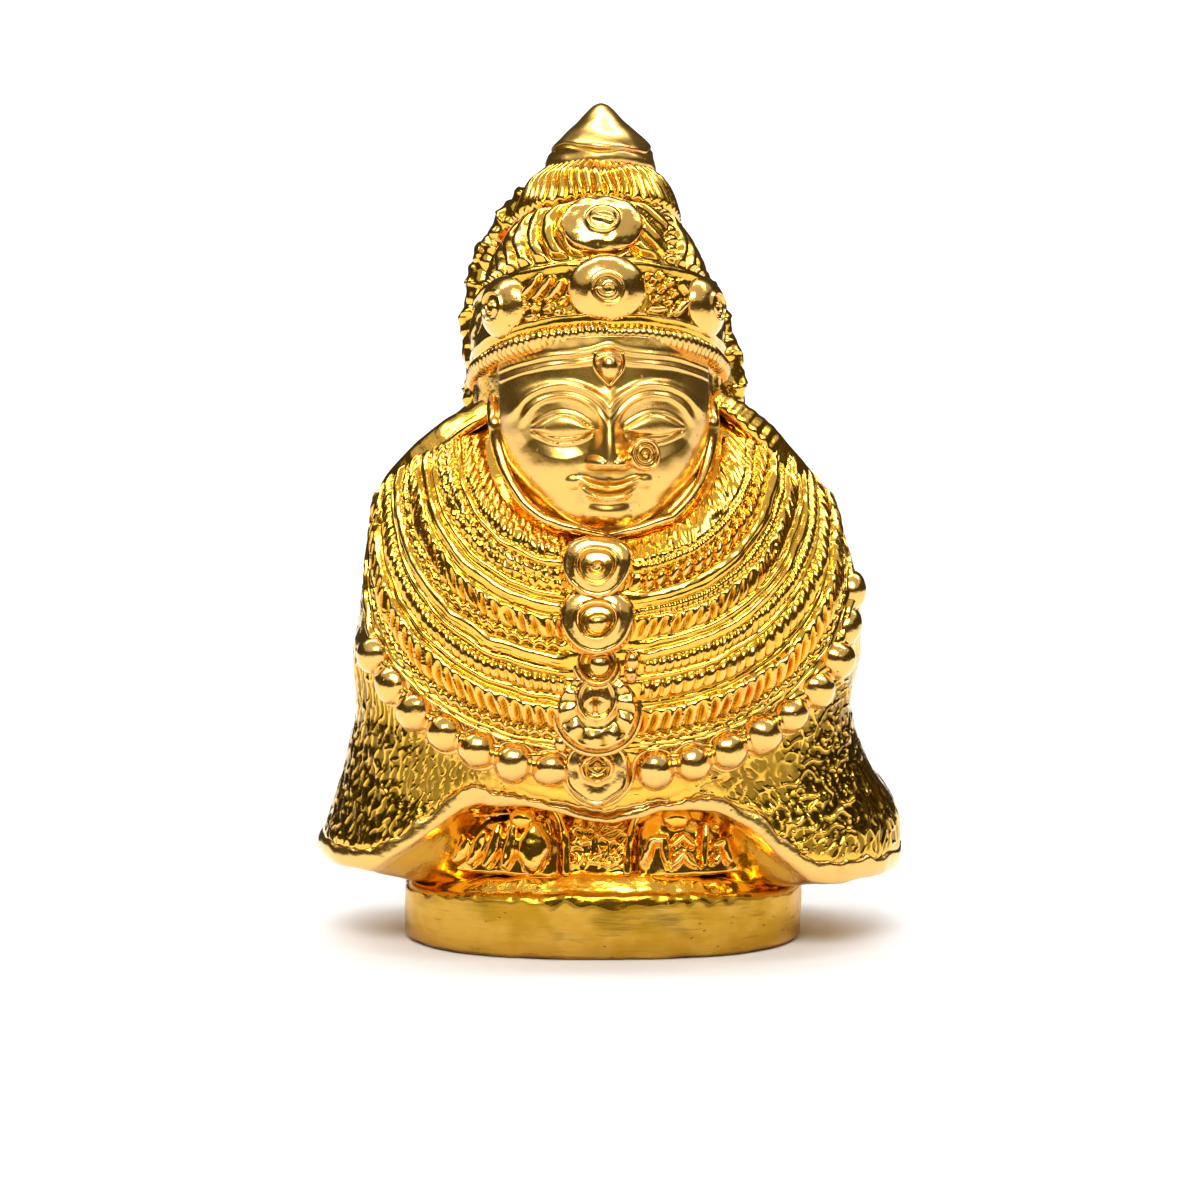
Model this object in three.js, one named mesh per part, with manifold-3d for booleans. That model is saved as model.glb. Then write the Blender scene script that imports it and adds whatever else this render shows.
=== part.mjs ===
// Small gold-plated brass figure of a crowned goddess in a cloak, cast in one piece with its oval plinth.
// Millimetres, +Z up. The figure faces -Y, +X is to the viewer's right, and z = 0 is the underside.
import * as THREE from 'three';
import { LoftGeometry } from 'three/addons/geometries/LoftGeometry.js';
import { mergeVertices } from 'three/addons/utils/BufferGeometryUtils.js';
import Module from 'manifold-3d';

const { clamp, degToRad, lerp, smoothstep } = THREE.MathUtils;

// Driving dimensions. Sideways places are measured from the middle of the plinth.
const HEIGHT = 60;
const CENTRE_SHIFT = { x: -0.5, y: 1.1 };
const GOLD = { color: 0xe2b14a, roughness: 0.18, metalness: 1 };

const PLINTH = { halfWidth: 14.45, halfDepth: 9.8, power: 2.4, sideHeight: 4, frontHeight: 4.65 };

// The cloak from hem to neck: height, half-width, front depth, back depth, sideways shift.
const CLOAK_POWER = 2.2;
const CLOAK = [
  [4.6, 20.3, 10.2, 10.6, 0.7],
  [6.8, 21.05, 10.6, 11.0, 0.55],
  [9.5, 20.5, 10.9, 10.8, 0.8],
  [13, 18.9, 11.3, 10.2, 0.25],
  [17, 17.9, 11.6, 9.9, 0.05],
  [21, 18.35, 11.9, 10.0, 0.3],
  [25, 18.1, 11.8, 10.1, 0.65],
  [29, 17.0, 11.3, 10.0, 0.25],
  [33, 15.7, 10.1, 9.6, -0.1],
  [36, 13.1, 8.6, 9.0, -0.15],
  [39, 9.6, 6.6, 8.2, 0.1],
  [42, 8.0, 5.5, 7.4, -0.2],
];
// Its lower edge, with the arches over the feet from where they level off to where they end, left and right.
const HEM = { height: 5.5, slope: -0.02, thickness: 1.3, roll: 0.3, archHeight: 5.3, dip: 0.9 };
const ARCHES = { left: [8.6, 17.3], right: [7.4, 15.8] };
const RECESS_DEPTH = 8.2;

// Necklace rows run from a shoulder, under the face and up to the other shoulder.
// From the inmost row to the bead garland their half-width grows and their ends and middle sink.
const ROWS = {
  halfWidth: [7.9, 17.0], halfWidthPower: 0.75,
  top: [37, 26], topPower: 1.4,
  bottom: [30.1, 14],
  power: 2.4,
  rightStretch: 0.5,
};
const ROW_HEIGHTS = [0.3, 0.35, 0.45, 0.45, 0.3, 0.4, 0.4, 0.85, 0.4, 0.35];
const ROW_WIDTHS = [1.3, 1.3, 1.3, 1.3, 1.1, 1.1, 1.3, 2.1, 1.3, 1.1];

const BEAD = { radius: 1.4, pitch: 2.55, left: 7, right: 9, columnHalfWidth: 3.6 };

// Pendants down the middle: height, radius, relief, ring radius.
const COLUMN_X = -0.4;
const PENDANTS = [
  [28.1, 2.3, 1.0, 1.2],
  [24.5, 2.4, 1.0, 1.2],
  [21.5, 1.25, 1.1, 0.6],
  [18.3, 2.75, 1.0, 1.1],
  [14.1, 2.25, 1.2, 0.95],
];

// The head leans on its own upright axis and is turned a little to the viewer's right.
const HEAD = { x: -0.4, yaw: degToRad(4) };
// Head and hair: height, half-width, front depth, back depth.
const SKULL = [
  [30, 6.2, 7.2, 7.0],
  [33, 8.0, 7.8, 8.8],
  [37, 8.7, 8.0, 9.2],
  [42, 8.8, 8.2, 9.2],
];
const FACE = { bottom: 30.6, middle: 38.2, top: 42.6, halfWidth: 7.35, chinHalfWidth: 1.6, depth: 11.1, edgeDepth: 7.2 };

// The crown leans back, so each tier is a tilted ring:
// height at the sides, half-width, half-depth, depth shift, tilt in degrees.
const CROWN = [
  [39.6, 8.2, 9.8, -0.6, 20],
  [40.1, 8.9, 10.75, -0.6, 20],
  [40.7, 9.15, 10.95, -0.6, 20],
  [41.1, 8.8, 10.5, -0.5, 20],
  [41.5, 9.15, 10.8, -0.4, 20],
  [42.0, 8.95, 10.5, -0.3, 20],
  [45.0, 8.85, 10.0, 0.1, 20],
  [45.6, 8.85, 9.95, 0.2, 20],
  [46.2, 8.0, 8.9, 0.3, 20],
  [48.7, 7.0, 7.9, 0.7, 20],
  [51.4, 5.3, 6.2, 1.0, 20],
];
const RUFFLE = [
  [51.2, 5.8, 6.3, 1.0, 19],
  [51.7, 6.0, 6.5, 1.0, 18],
  [53.2, 5.5, 5.8, 1.0, 15],
  [54.5, 4.75, 4.95, 1.0, 12],
  [55.6, 3.5, 3.6, 1.0, 8],
];
const FLUTES = { count: 24, depth: 0.3 };
const FINIAL_X = 0.35;
const FINIAL = [
  [55.3, 3.85, 3.85, 1.0, 8],
  [55.9, 3.85, 3.85, 1.0, 6],
  [56.25, 3.4, 3.4, 1.0, 6],
  [56.6, 3.65, 3.65, 1.0, 5],
  [57.5, 2.95, 2.95, 1.0, 4],
  [58.6, 1.95, 1.95, 1.0, 3],
  [59.6, 0.85, 0.85, 1.0, 1],
  [HEIGHT, 0.3, 0.3, 1.0, 0],
];

// Bosses on the crown: degrees from the front, crown height at the sides, radius, relief.
const BOSSES = [
  [0, 43.7, 2.5, 1.0],
  [-54, 43.6, 2.1, 0.9],
  [54, 43.6, 2.1, 0.9],
  [0, 49.0, 2.3, 1.0],
];

// Strands of hair and flowers beside the crown, and the bands on the shoulders.
const STRAND_RADIUS = 1.3;
const STRANDS = [
  [[-4.9, 2.2, 53.2], [-7.3, 2.8, 50.2], [-8.8, 2.6, 46], [-8.7, 1.6, 41.6], [-8.6, 0.4, 37.6]],
  [[4.2, 2.4, 50.8], [6.4, 2.6, 47.4], [8.3, 2.2, 43.2], [8.9, 1.2, 40.2], [9.0, 0.4, 37.4]],
];
const BAND_RADIUS = 0.65;
const BANDS = [
  [[-7.7, -3.4, 39.1], [-10.5, -3.3, 37.4], [-13.4, -3.2, 35.1], [-15.6, -2.8, 32.7]],
  [[8.3, -3.4, 39.6], [10.7, -3.3, 37.6], [13.6, -3.1, 34.4], [16.0, -2.6, 31.2]],
];

// Feet: middle, half-width, then five toes from the inside out.
const FEET = [
  { x: -7.25, halfWidth: 4.4, side: -1 },
  { x: 6.8, halfWidth: 4.75, side: 1 },
];
const FOOT = { y: -4.8, z: 5.6, depth: 3.6, height: 4.9, toes: 5, toeHeight: 7.1, anklet: 1.1 };

const wasm = await Module();
wasm.setup();

const TURN = 2 * Math.PI;
const UP = new THREE.Vector3(0, 1, 0);

// A smooth curve through rows of numbers whose first column is the height.
function profile(rows) {
  const slope = (i, k) => {
    const before = rows[Math.max(i - 1, 0)];
    const after = rows[Math.min(i + 1, rows.length - 1)];
    return (after[k] - before[k]) / (after[0] - before[0]);
  };
  return (height) => {
    const z = clamp(height, rows[0][0], rows.at(-1)[0]);
    const i = Math.min(rows.findLastIndex((row) => row[0] <= z), rows.length - 2);
    const span = rows[i + 1][0] - rows[i][0];
    const t = (z - rows[i][0]) / span;
    return rows[i].slice(1).map((value, column) => {
      const k = column + 1;
      const start = 2 * t ** 3 - 3 * t ** 2 + 1;
      const leave = (t ** 3 - 2 * t ** 2 + t) * span * slope(i, k);
      const arrive = (t ** 3 - t ** 2) * span * slope(i + 1, k);
      return start * value + (1 - start) * rows[i + 1][k] + leave + arrive;
    });
  };
}

// A point of a rounded outline: x to the right, y to the back, angle 0 on the right.
function roundedPoint(angle, halfWidth, front, back, power) {
  const bend = (value) => Math.sign(value) * Math.abs(value) ** (2 / power);
  const depth = Math.sin(angle) < 0 ? front : back;
  return [halfWidth * bend(Math.cos(angle)), depth * bend(Math.sin(angle))];
}

// A closed ring of points, one for each of evenly spaced angles.
function ring(count, pointAt) {
  return Array.from({ length: count }, (_, i) => pointAt((i * TURN) / count));
}

// Makes a solid from a closed geometry, whichever way its faces point.
function toSolid(geometry) {
  const bare = new THREE.BufferGeometry();
  bare.setAttribute('position', geometry.getAttribute('position'));
  bare.setIndex(geometry.index);
  const merged = mergeVertices(bare);
  const { array } = merged.index;
  let triangles = [];
  for (let i = 0; i < array.length; i += 3) {
    const corners = Array.from(array.slice(i, i + 3));
    if (new Set(corners).size === 3) triangles.push(corners);
  }
  const position = merged.getAttribute('position');
  const corner = (i) => new THREE.Vector3().fromBufferAttribute(position, i);
  const volume = triangles.reduce(
    (sum, [a, b, c]) => sum + corner(a).dot(corner(b).cross(corner(c))), 0);
  if (volume < 0) triangles = triangles.map(([a, b, c]) => [a, c, b]);
  return new wasm.Manifold(new wasm.Mesh({
    numProp: 3,
    vertProperties: new Float32Array(position.array),
    triVerts: new Uint32Array(triangles.flat()),
  }));
}

// A skin through closed sections, flat at both ends.
const loft = (sections) => toSolid(new LoftGeometry(sections, { capStart: true, capEnd: true }));

// A skin whose end sections aren't flat, so each is gathered to a point between its first and last corners.
function gatheredLoft(sections) {
  const gathered = (section) => {
    const middle = section[0].clone().lerp(section.at(-1), 0.5);
    return section.map(() => middle);
  };
  return toSolid(new LoftGeometry([gathered(sections[0]), ...sections, gathered(sections.at(-1))]));
}

// A lathe-turned boss whose axis points along a normal, its outline starting inside the body.
function boss(place, normal, outline, segments = 10) {
  const points = outline.map(([radius, out]) => new THREE.Vector2(radius, out));
  const geometry = new THREE.LatheGeometry(points, segments);
  geometry.applyQuaternion(new THREE.Quaternion().setFromUnitVectors(UP, normal.clone().normalize()));
  geometry.translate(place.x, place.y, place.z);
  return toSolid(geometry);
}

// A ringed disc: rim, groove, raised ring and a small middle.
function ringedOutline(radius, relief, ringRadius) {
  return [
    [0, -1.6],
    [radius, -1.6],
    [radius, relief * 0.3],
    [radius * 0.75, relief * 0.85],
    [ringRadius, relief * 1.15],
    [0, relief * 0.7],
  ];
}

// A ball stretched along the three axes.
function ball(place, radii, widthSegments = 6, heightSegments = 5) {
  const geometry = new THREE.SphereGeometry(1, widthSegments, heightSegments);
  geometry.rotateX(Math.PI / 2);
  geometry.scale(...radii);
  geometry.translate(...place);
  return toSolid(geometry);
}

// A round rope along points, its thickness worked out along the way.
function rope(points, radiusAt, steps, sides) {
  const curve = new THREE.CatmullRomCurve3(points.map((point) => new THREE.Vector3(...point)));
  const frames = curve.computeFrenetFrames(steps);
  return loft(Array.from({ length: steps + 1 }, (_, i) => ring(sides, (angle) => {
    const radius = radiusAt(i);
    return curve.getPointAt(i / steps)
      .addScaledVector(frames.normals[i], radius * Math.cos(angle))
      .addScaledVector(frames.binormals[i], radius * Math.sin(angle));
  })));
}

// Oval plinth with a small bevel underneath and a filed rim that rises at the front.
function plinth() {
  const slices = 40;
  const section = (inset, side, front) => ring(slices, (angle) => {
    const { halfWidth, halfDepth, power } = PLINTH;
    const [x, y] = roundedPoint(angle, halfWidth - inset, halfDepth - inset, halfDepth - inset, power);
    const frontness = clamp(-Math.sin(angle), 0, 1) ** 2;
    return new THREE.Vector3(x, y, lerp(side, front, frontness));
  });
  const { sideHeight, frontHeight } = PLINTH;
  return loft([
    section(0.5, 0, 0),
    section(0.15, 0.35, 0.35),
    section(0, sideHeight - 0.3, frontHeight - 0.35),
    section(0.25, sideHeight, frontHeight),
    section(2.2, sideHeight + 0.5, frontHeight + 0.35),
    section(5, sideHeight + 1.4, frontHeight + 0.9),
  ]);
}

const cloakAt = profile(CLOAK);

// Height of the cloak's lower edge: level behind, two arches over the feet in front.
function hemHeight(x, front) {
  const across = Math.abs(x);
  const arch = 1 - smoothstep(across, ...(x < 0 ? ARCHES.left : ARCHES.right));
  const dip = 1 - smoothstep(across, 0, 5.5);
  return HEM.height + HEM.slope * x + front * (HEM.archHeight * arch - HEM.dip * dip);
}

// Bell-shaped cloak with a rolled hem, a recess under it and a core down into the plinth.
function cloak() {
  const slices = 40;
  const top = CLOAK.at(-1)[0];
  const outer = (angle, z, outset) => {
    const [halfWidth, front, back, shift] = cloakAt(z);
    const [x, y] = roundedPoint(angle, halfWidth + outset, front + outset, back + outset, CLOAK_POWER);
    return new THREE.Vector3(x + shift, y, z);
  };
  const inner = (angle, z) => {
    const { halfWidth, halfDepth, power } = PLINTH;
    const [x, y] = roundedPoint(angle, halfWidth - 0.6, RECESS_DEPTH, halfDepth - 0.5, power);
    return new THREE.Vector3(x, y, z);
  };
  const hemAt = (angle) => {
    const front = smoothstep(-Math.sin(angle), 0.15, 0.55);
    return hemHeight(outer(angle, HEM.height, 0).x, front);
  };
  const coreSection = (height) => ring(slices, (angle) => inner(angle, height));
  const hemSection = (rise, outset) => ring(slices, (angle) => outer(angle, hemAt(angle) + rise, outset));
  const underside = (blend, rise) => ring(slices, (angle) => {
    const height = hemAt(angle) + rise;
    return outer(angle, height, 0).lerp(inner(angle, height), blend);
  });
  const bodySection = (part) => ring(slices, (angle) => {
    const base = hemAt(angle) + HEM.thickness;
    return outer(angle, lerp(base, top, part), 0);
  });
  return loft([
    coreSection(3),
    underside(1, 0.3),
    underside(0.4, 0.1),
    hemSection(0, -0.2),
    hemSection(0.3, HEM.roll),
    hemSection(HEM.thickness - 0.3, HEM.roll),
    ...[0.02, 0.15, 0.3, 0.45, 0.6, 0.72, 0.84, 1].map(bodySection),
  ]);
}

// Where the cloak's front surface is, and which way it faces.
function chestPoint(x, z, lift) {
  const [halfWidth, front, , shift] = cloakAt(z);
  const depth = (px) => {
    const part = clamp(Math.abs(px - shift) / halfWidth, 0, 0.995);
    return -front * (1 - part ** CLOAK_POWER) ** (1 / CLOAK_POWER);
  };
  const [, above] = cloakAt(z + 0.5);
  const normal = new THREE.Vector3(depth(x + 0.2) - depth(x - 0.2), -0.4, (front - above) * 0.8).normalize();
  return { place: new THREE.Vector3(x, depth(x), z).addScaledVector(normal, lift), normal };
}

// A point on the row at a share of the way out, along from -1 (left end) to 1 (right end).
function rowPoint(along, outward, lift) {
  const halfWidth = lerp(...ROWS.halfWidth, outward ** ROWS.halfWidthPower)
    + (along > 0 ? ROWS.rightStretch * outward : 0);
  const top = lerp(...ROWS.top, outward ** ROWS.topPower);
  const bottom = lerp(...ROWS.bottom, outward);
  const angle = (1 - Math.abs(along)) * Math.PI / 2;
  const x = Math.sign(along) * halfWidth * Math.cos(angle) ** (2 / ROWS.power);
  const z = top - (top - bottom) * Math.sin(angle) ** (2 / ROWS.power);
  return chestPoint(x, z, lift);
}

// The necklaces as one ridged shield over the chest, closed behind by a chord inside the body.
function necklaces() {
  const steps = 16;
  const total = ROW_WIDTHS.reduce((sum, width) => sum + width, 0);
  const section = (outward, lift) => Array.from({ length: steps + 1 }, (_, i) => {
    const along = (2 * i) / steps - 1;
    const buried = Math.abs(along) === 1 ? -0.5 : lift;
    return rowPoint(along, outward, buried).place;
  });
  const sections = [section(0, -0.6)];
  let reached = 0;
  ROW_WIDTHS.forEach((width, i) => {
    const outwardAt = (part) => ((reached + width * part) / total) * 0.93 + 0.01;
    sections.push(section(outwardAt(0), 0.05));
    sections.push(section(outwardAt(0.5), ROW_HEIGHTS[i]));
    reached += width;
  });
  sections.push(section(0.97, 0.05), section(0.99, -0.6));
  return gatheredLoft(sections);
}

// Big beads strung along the outmost row on each side, then up towards the shoulder.
function garland() {
  const sides = [[-1, BEAD.left], [1, BEAD.right]];
  return sides.flatMap(([side, count]) => {
    const path = Array.from({ length: 81 }, (_, i) => rowPoint(side * (i / 80), 1, 0.35).place);
    const rise = path.at(-1).clone().add(new THREE.Vector3(-side * 1.2, 0.8, 6));
    const curve = new THREE.CatmullRomCurve3([...path, rise]);
    const length = curve.getLength();
    return Array.from({ length: count }, (_, i) => {
      const at = curve.getPointAt((BEAD.columnHalfWidth + BEAD.pitch * i) / length);
      return ball(at.toArray(), [BEAD.radius, BEAD.radius, BEAD.radius * 1.05]);
    });
  });
}

// Ringed pendants one under the other.
function pendants() {
  return PENDANTS.map(([z, radius, relief, ringRadius]) => {
    const { place, normal } = chestPoint(COLUMN_X, z, 0.3);
    return boss(place, normal, ringedOutline(radius, relief, ringRadius));
  });
}

// Turns a point about the head's own upright axis.
function turnHead(x, y, z) {
  return new THREE.Vector3(x, y, z)
    .applyAxisAngle(new THREE.Vector3(0, 0, 1), HEAD.yaw)
    .add(new THREE.Vector3(HEAD.x, 0, 0));
}

function skull() {
  const at = profile(SKULL);
  const heights = SKULL.map(([z]) => z);
  return loft(heights.map((z) => ring(18, (angle) => {
    const [halfWidth, front, back] = at(z);
    return turnHead(...roundedPoint(angle, halfWidth, front, back, 2.2), z);
  })));
}

// A smooth bump of height 1 in the middle and 0 at the given distance.
const bump = (x, z, cx, cz, rx, rz) => {
  const distance = ((x - cx) / rx) ** 2 + ((z - cz) / rz) ** 2;
  return distance < 1 ? (1 - distance) ** 1.5 : 0;
};

// Relief of the face: brows, closed eyes, nose, smiling lips, cheeks and chin.
function faceRelief(x, z) {
  const across = Math.abs(x);
  const ridge = (offset, width) => Math.exp(-((offset / width) ** 2));
  const browLine = 40.2 - 0.17 * (across - 2.9) ** 2;
  const browFade = smoothstep(across, 0.3, 1.2) * (1 - smoothstep(across, 5, 5.9));
  const brow = 0.34 * ridge(z - browLine, 0.3) * browFade;
  const lid = 0.28 * ridge(z - browLine + 0.95, 0.25) * browFade;
  const eye = 0.75 * bump(across, z, 3.1, 37.9, 2.1, 1.15);
  const noseWidth = lerp(1.1, 0.5, smoothstep(z, 35.4, 38.6));
  const nose = (x / noseWidth) ** 2 < 4
    ? lerp(1.55, 0.35, smoothstep(z, 35.6, 39.6)) * smoothstep(z, 34.9, 35.5)
      * Math.exp(-((x / noseWidth) ** 2)) * (1 - smoothstep(z, 39.6, 41))
    : 0;
  const wings = 0.7 * bump(across, z, 0.95, 35.5, 0.75, 0.65);
  const smile = 33.45 + 0.14 * across ** 2;
  const lips = (0.5 * ridge(z - smile - 0.33, 0.27) + 0.55 * ridge(z - smile + 0.38, 0.32))
    * (1 - smoothstep(across, 1.3, 2.1));
  const cheeks = 0.45 * bump(across, z, 3.9, 34.7, 2.4, 2.3);
  const chin = 0.5 * bump(x, z, 0, 31.75, 1.6, 1.1);
  return brow + lid + eye + nose + wings + lips + cheeks + chin;
}

// Half-width of the face mask at a height: full at the temples, narrow and round at the chin.
function faceHalfWidth(z) {
  const part = clamp((z - FACE.bottom) / (FACE.middle - FACE.bottom), 0, 1);
  return lerp(FACE.chinHalfWidth, FACE.halfWidth, Math.sqrt(1 - (1 - part) ** 2));
}

// Depth of the face mask before its features are added.
function faceDepth(x, z) {
  const part = clamp(Math.abs(x) / (FACE.halfWidth + 0.5), 0, 1);
  const roundness = (1 - part ** 2.3) ** 0.5;
  const underChin = 1.3 * (1 - smoothstep(z, FACE.bottom, 31.6));
  const forehead = 0.5 * smoothstep(z, 39.5, 42.6);
  return lerp(FACE.edgeDepth, FACE.depth, roundness) - underChin - forehead;
}

function face() {
  const columns = 18;
  const rows = 18;
  return loft(Array.from({ length: rows + 1 }, (_, j) => {
    const z = lerp(FACE.bottom, FACE.top, j / rows);
    const width = faceHalfWidth(z);
    const points = Array.from({ length: columns + 1 }, (__, i) => {
      const x = width * ((2 * i) / columns - 1);
      return turnHead(x, -faceDepth(x, z) - faceRelief(x, z), z);
    });
    return [turnHead(-width - 0.2, -3, z), ...points, turnHead(width + 0.2, -3, z)];
  }));
}

// A tilted ring of the crown; the wave pushes its points in and out.
function tier([z, halfWidth, halfDepth, shift, tilt], slices, { wave = () => 0, middle = 0 } = {}) {
  const lean = degToRad(tilt);
  return ring(slices, (angle) => {
    const outset = wave(angle);
    const x = middle + (halfWidth + outset) * Math.cos(angle);
    const along = (halfDepth + outset) * Math.sin(angle);
    return turnHead(x, shift + along * Math.cos(lean), z - along * Math.sin(lean));
  });
}

function crown() {
  const flute = (angle) => FLUTES.depth * Math.cos(angle * FLUTES.count) - FLUTES.depth / 2;
  return [
    loft(CROWN.map((row) => tier(row, 30))),
    loft(RUFFLE.map((row) => tier(row, FLUTES.count * 2, { wave: flute }))),
    loft(FINIAL.map((row) => tier(row, 16, { middle: FINIAL_X }))),
  ];
}

const crownAt = profile(CROWN);

// Bosses stand on the crown with their axes square to its wall.
function crownBosses() {
  return BOSSES.map(([degrees, z, radius, relief]) => {
    const [halfWidth, halfDepth, shift, tilt] = crownAt(z);
    const lean = degToRad(tilt);
    const angle = degToRad(degrees - 90);
    const along = halfDepth * Math.sin(angle);
    const place = turnHead(
      halfWidth * Math.cos(angle), shift + along * Math.cos(lean), z - along * Math.sin(lean));
    const outward = turnHead(Math.cos(angle), Math.sin(angle) * Math.cos(lean), -Math.sin(angle) * Math.sin(lean) * 0.5);
    const normal = outward.sub(new THREE.Vector3(HEAD.x, 0, 0));
    return boss(place, normal, ringedOutline(radius, relief, radius * 0.45));
  });
}

function strands() {
  const beaded = (i) => STRAND_RADIUS * (i % 2 ? 1.08 : 0.85);
  return STRANDS.map((points) => rope(points, beaded, 10, 5));
}

function shoulderBands() {
  return BANDS.map((points) => rope(points, () => BAND_RADIUS, 6, 5));
}

// Feet looking out from under the hem, with toes and a ball-shaped anklet each.
function feet() {
  return FEET.flatMap(({ x, halfWidth, side }) => {
    const { y, z, depth, height, toes, toeHeight, anklet } = FOOT;
    const instep = ball([x, y, z], [halfWidth, depth, height], 10, 7);
    const toeBalls = Array.from({ length: toes }, (_, i) => {
      const part = i / (toes - 1);
      const across = lerp(-0.52, 0.8, part);
      const radius = i === 0 ? 1.25 : lerp(0.85, 0.65, part);
      const front = y - depth * Math.sqrt(1 - across ** 2) * 0.98;
      return ball([x + side * across * halfWidth, front, toeHeight], [radius, radius, radius * 1.5], 6, 4);
    });
    const ornament = ball([x - side * 1.7, y - 2.7, z + 4.3], [anklet, anklet, anklet]);
    return [instep, ...toeBalls, ornament];
  });
}

// Nose ornament and the drop jewel on the forehead.
function faceJewels() {
  const jewelAt = (x, z, lift) => turnHead(x, -faceDepth(x, z) - lift, z);
  const outward = new THREE.Vector3(0.25, -1, 0);
  return [
    boss(jewelAt(2.35, 36.0, 0.35), outward, ringedOutline(1.25, 0.55, 0.7), 9),
    ball(jewelAt(0, 42, 0.5).toArray(), [0.65, 0.6, 0.85]),
  ];
}

function figureGeometry() {
  const solids = [
    plinth(), cloak(), necklaces(), skull(), face(),
    ...crown(), ...crownBosses(), ...strands(), ...shoulderBands(),
    ...garland(), ...pendants(), ...feet(), ...faceJewels(),
  ];
  const joined = solids.reduce((whole, solid) => whole.add(solid));
  const { vertProperties, triVerts } = joined.getMesh();
  const geometry = new THREE.BufferGeometry();
  geometry.setAttribute('position', new THREE.BufferAttribute(vertProperties, 3));
  geometry.setIndex(new THREE.BufferAttribute(triVerts, 1));
  return geometry;
}

const figure = new THREE.Mesh(figureGeometry(), new THREE.MeshStandardMaterial(GOLD));
figure.name = 'lakshmi_figure';
figure.position.set(CENTRE_SHIFT.x, CENTRE_SHIFT.y, 0);

const part = new THREE.Group();
part.add(figure);

export default part;
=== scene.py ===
"""Gold-plated brass figure of a crowned goddess in a cloak: cast relief, finish, floor, light and camera."""

import math

import bpy
import numpy as np
from bpy.props import FloatProperty, FloatVectorProperty, IntProperty, PointerProperty
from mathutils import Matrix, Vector


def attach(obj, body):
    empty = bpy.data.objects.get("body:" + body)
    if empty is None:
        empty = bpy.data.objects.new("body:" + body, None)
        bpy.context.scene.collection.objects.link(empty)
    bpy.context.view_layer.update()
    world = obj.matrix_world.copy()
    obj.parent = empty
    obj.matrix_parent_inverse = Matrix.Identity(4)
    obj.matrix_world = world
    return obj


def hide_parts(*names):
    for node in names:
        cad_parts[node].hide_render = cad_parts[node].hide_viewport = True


bl_info = {
    "name": "Cast goddess figure",
    "version": (1, 0, 0),
    "blender": (4, 5, 0),
    "location": "3D View > Sidebar > Figure",
    "description": "Builds the relief and the finish of a small cast goddess figure around its solid",
    "category": "Object",
}

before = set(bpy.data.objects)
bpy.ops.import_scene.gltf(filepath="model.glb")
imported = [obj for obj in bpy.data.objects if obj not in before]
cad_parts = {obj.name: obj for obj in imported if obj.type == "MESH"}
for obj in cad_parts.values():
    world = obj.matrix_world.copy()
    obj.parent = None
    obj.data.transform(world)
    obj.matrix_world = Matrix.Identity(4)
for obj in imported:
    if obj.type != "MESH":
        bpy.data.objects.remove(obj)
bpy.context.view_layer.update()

NODE = "lakshmi_figure"
MM = 0.001
CENTRE = np.array([-0.5, 1.1, 0.0])

# half-width and half-depth, power of the superellipse, height of the lip at the sides and in front
PLINTH = {"half_width": 14.45, "half_depth": 9.8, "power": 2.4, "side": 4.0, "front": 4.65}

CLOAK_POWER = 2.2
# height, half-width, front depth, back depth, sideways shift
CLOAK = np.array([
    [4.6, 20.3, 10.9, 10.6, 0.7],
    [6.8, 21.05, 11.4, 11.0, 0.55],
    [9.5, 20.5, 11.3, 10.8, 0.8],
    [13, 18.9, 11.1, 10.2, 0.25],
    [17, 17.9, 11.4, 9.9, 0.05],
    [21, 18.35, 11.9, 10.0, 0.3],
    [25, 18.1, 11.8, 10.1, 0.65],
    [29, 17.0, 11.3, 10.0, 0.25],
    [33, 15.7, 10.1, 9.6, -0.1],
    [36, 13.1, 8.6, 9.0, -0.15],
    [39, 9.6, 6.6, 8.2, 0.1],
    [42, 8.0, 5.5, 7.4, -0.2],
])
CLOAK_TOP = 42.0
# cloak's lower edge: height behind, slope across, rise of its arches, dip between them, radius of its roll
HEM = {"height": 5.5, "slope": -0.02, "arch": 5.3, "dip": 0.9, "roll": 0.3}
# start and end of each of the hem's arches, from the middle
ARCHES = {"left": (8.6, 17.3), "right": (7.4, 15.8)}
# hollow under the hem: its depth over the feet and the height that it starts at
RECESS = {"depth": 6.0, "height": 4.1}
CLOAK_COLUMNS = 380
# rings of the cove under the hem and of the hem's roll
HEM_ROWS = (22, 12)

# necklaces: half-width, top and bottom of the inmost and the outmost row, power of their curve, and how much
# wider the outmost is on the right
ROWS = {"half_width": (7.9, 18.8), "top": (37, 31.4), "bottom": (30.1, 14), "power": 2.3, "stretch": 0.5}
BEAD_PITCH = 2.62
COLUMN_X = -0.4

HEAD_X = -0.4
HEAD_YAW = math.radians(4)
# height, half-width, front depth, back depth
SKULL = np.array([
    [30, 6.2, 7.2, 7.0],
    [33, 8.0, 7.8, 8.8],
    [37, 8.7, 8.0, 9.2],
    [42, 8.8, 8.2, 9.2],
])
FACE = {"bottom": 30.35, "middle": 38.0, "half_width": 7.35, "chin": 0.4, "depth": 11.5, "edge": 6.4}

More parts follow.
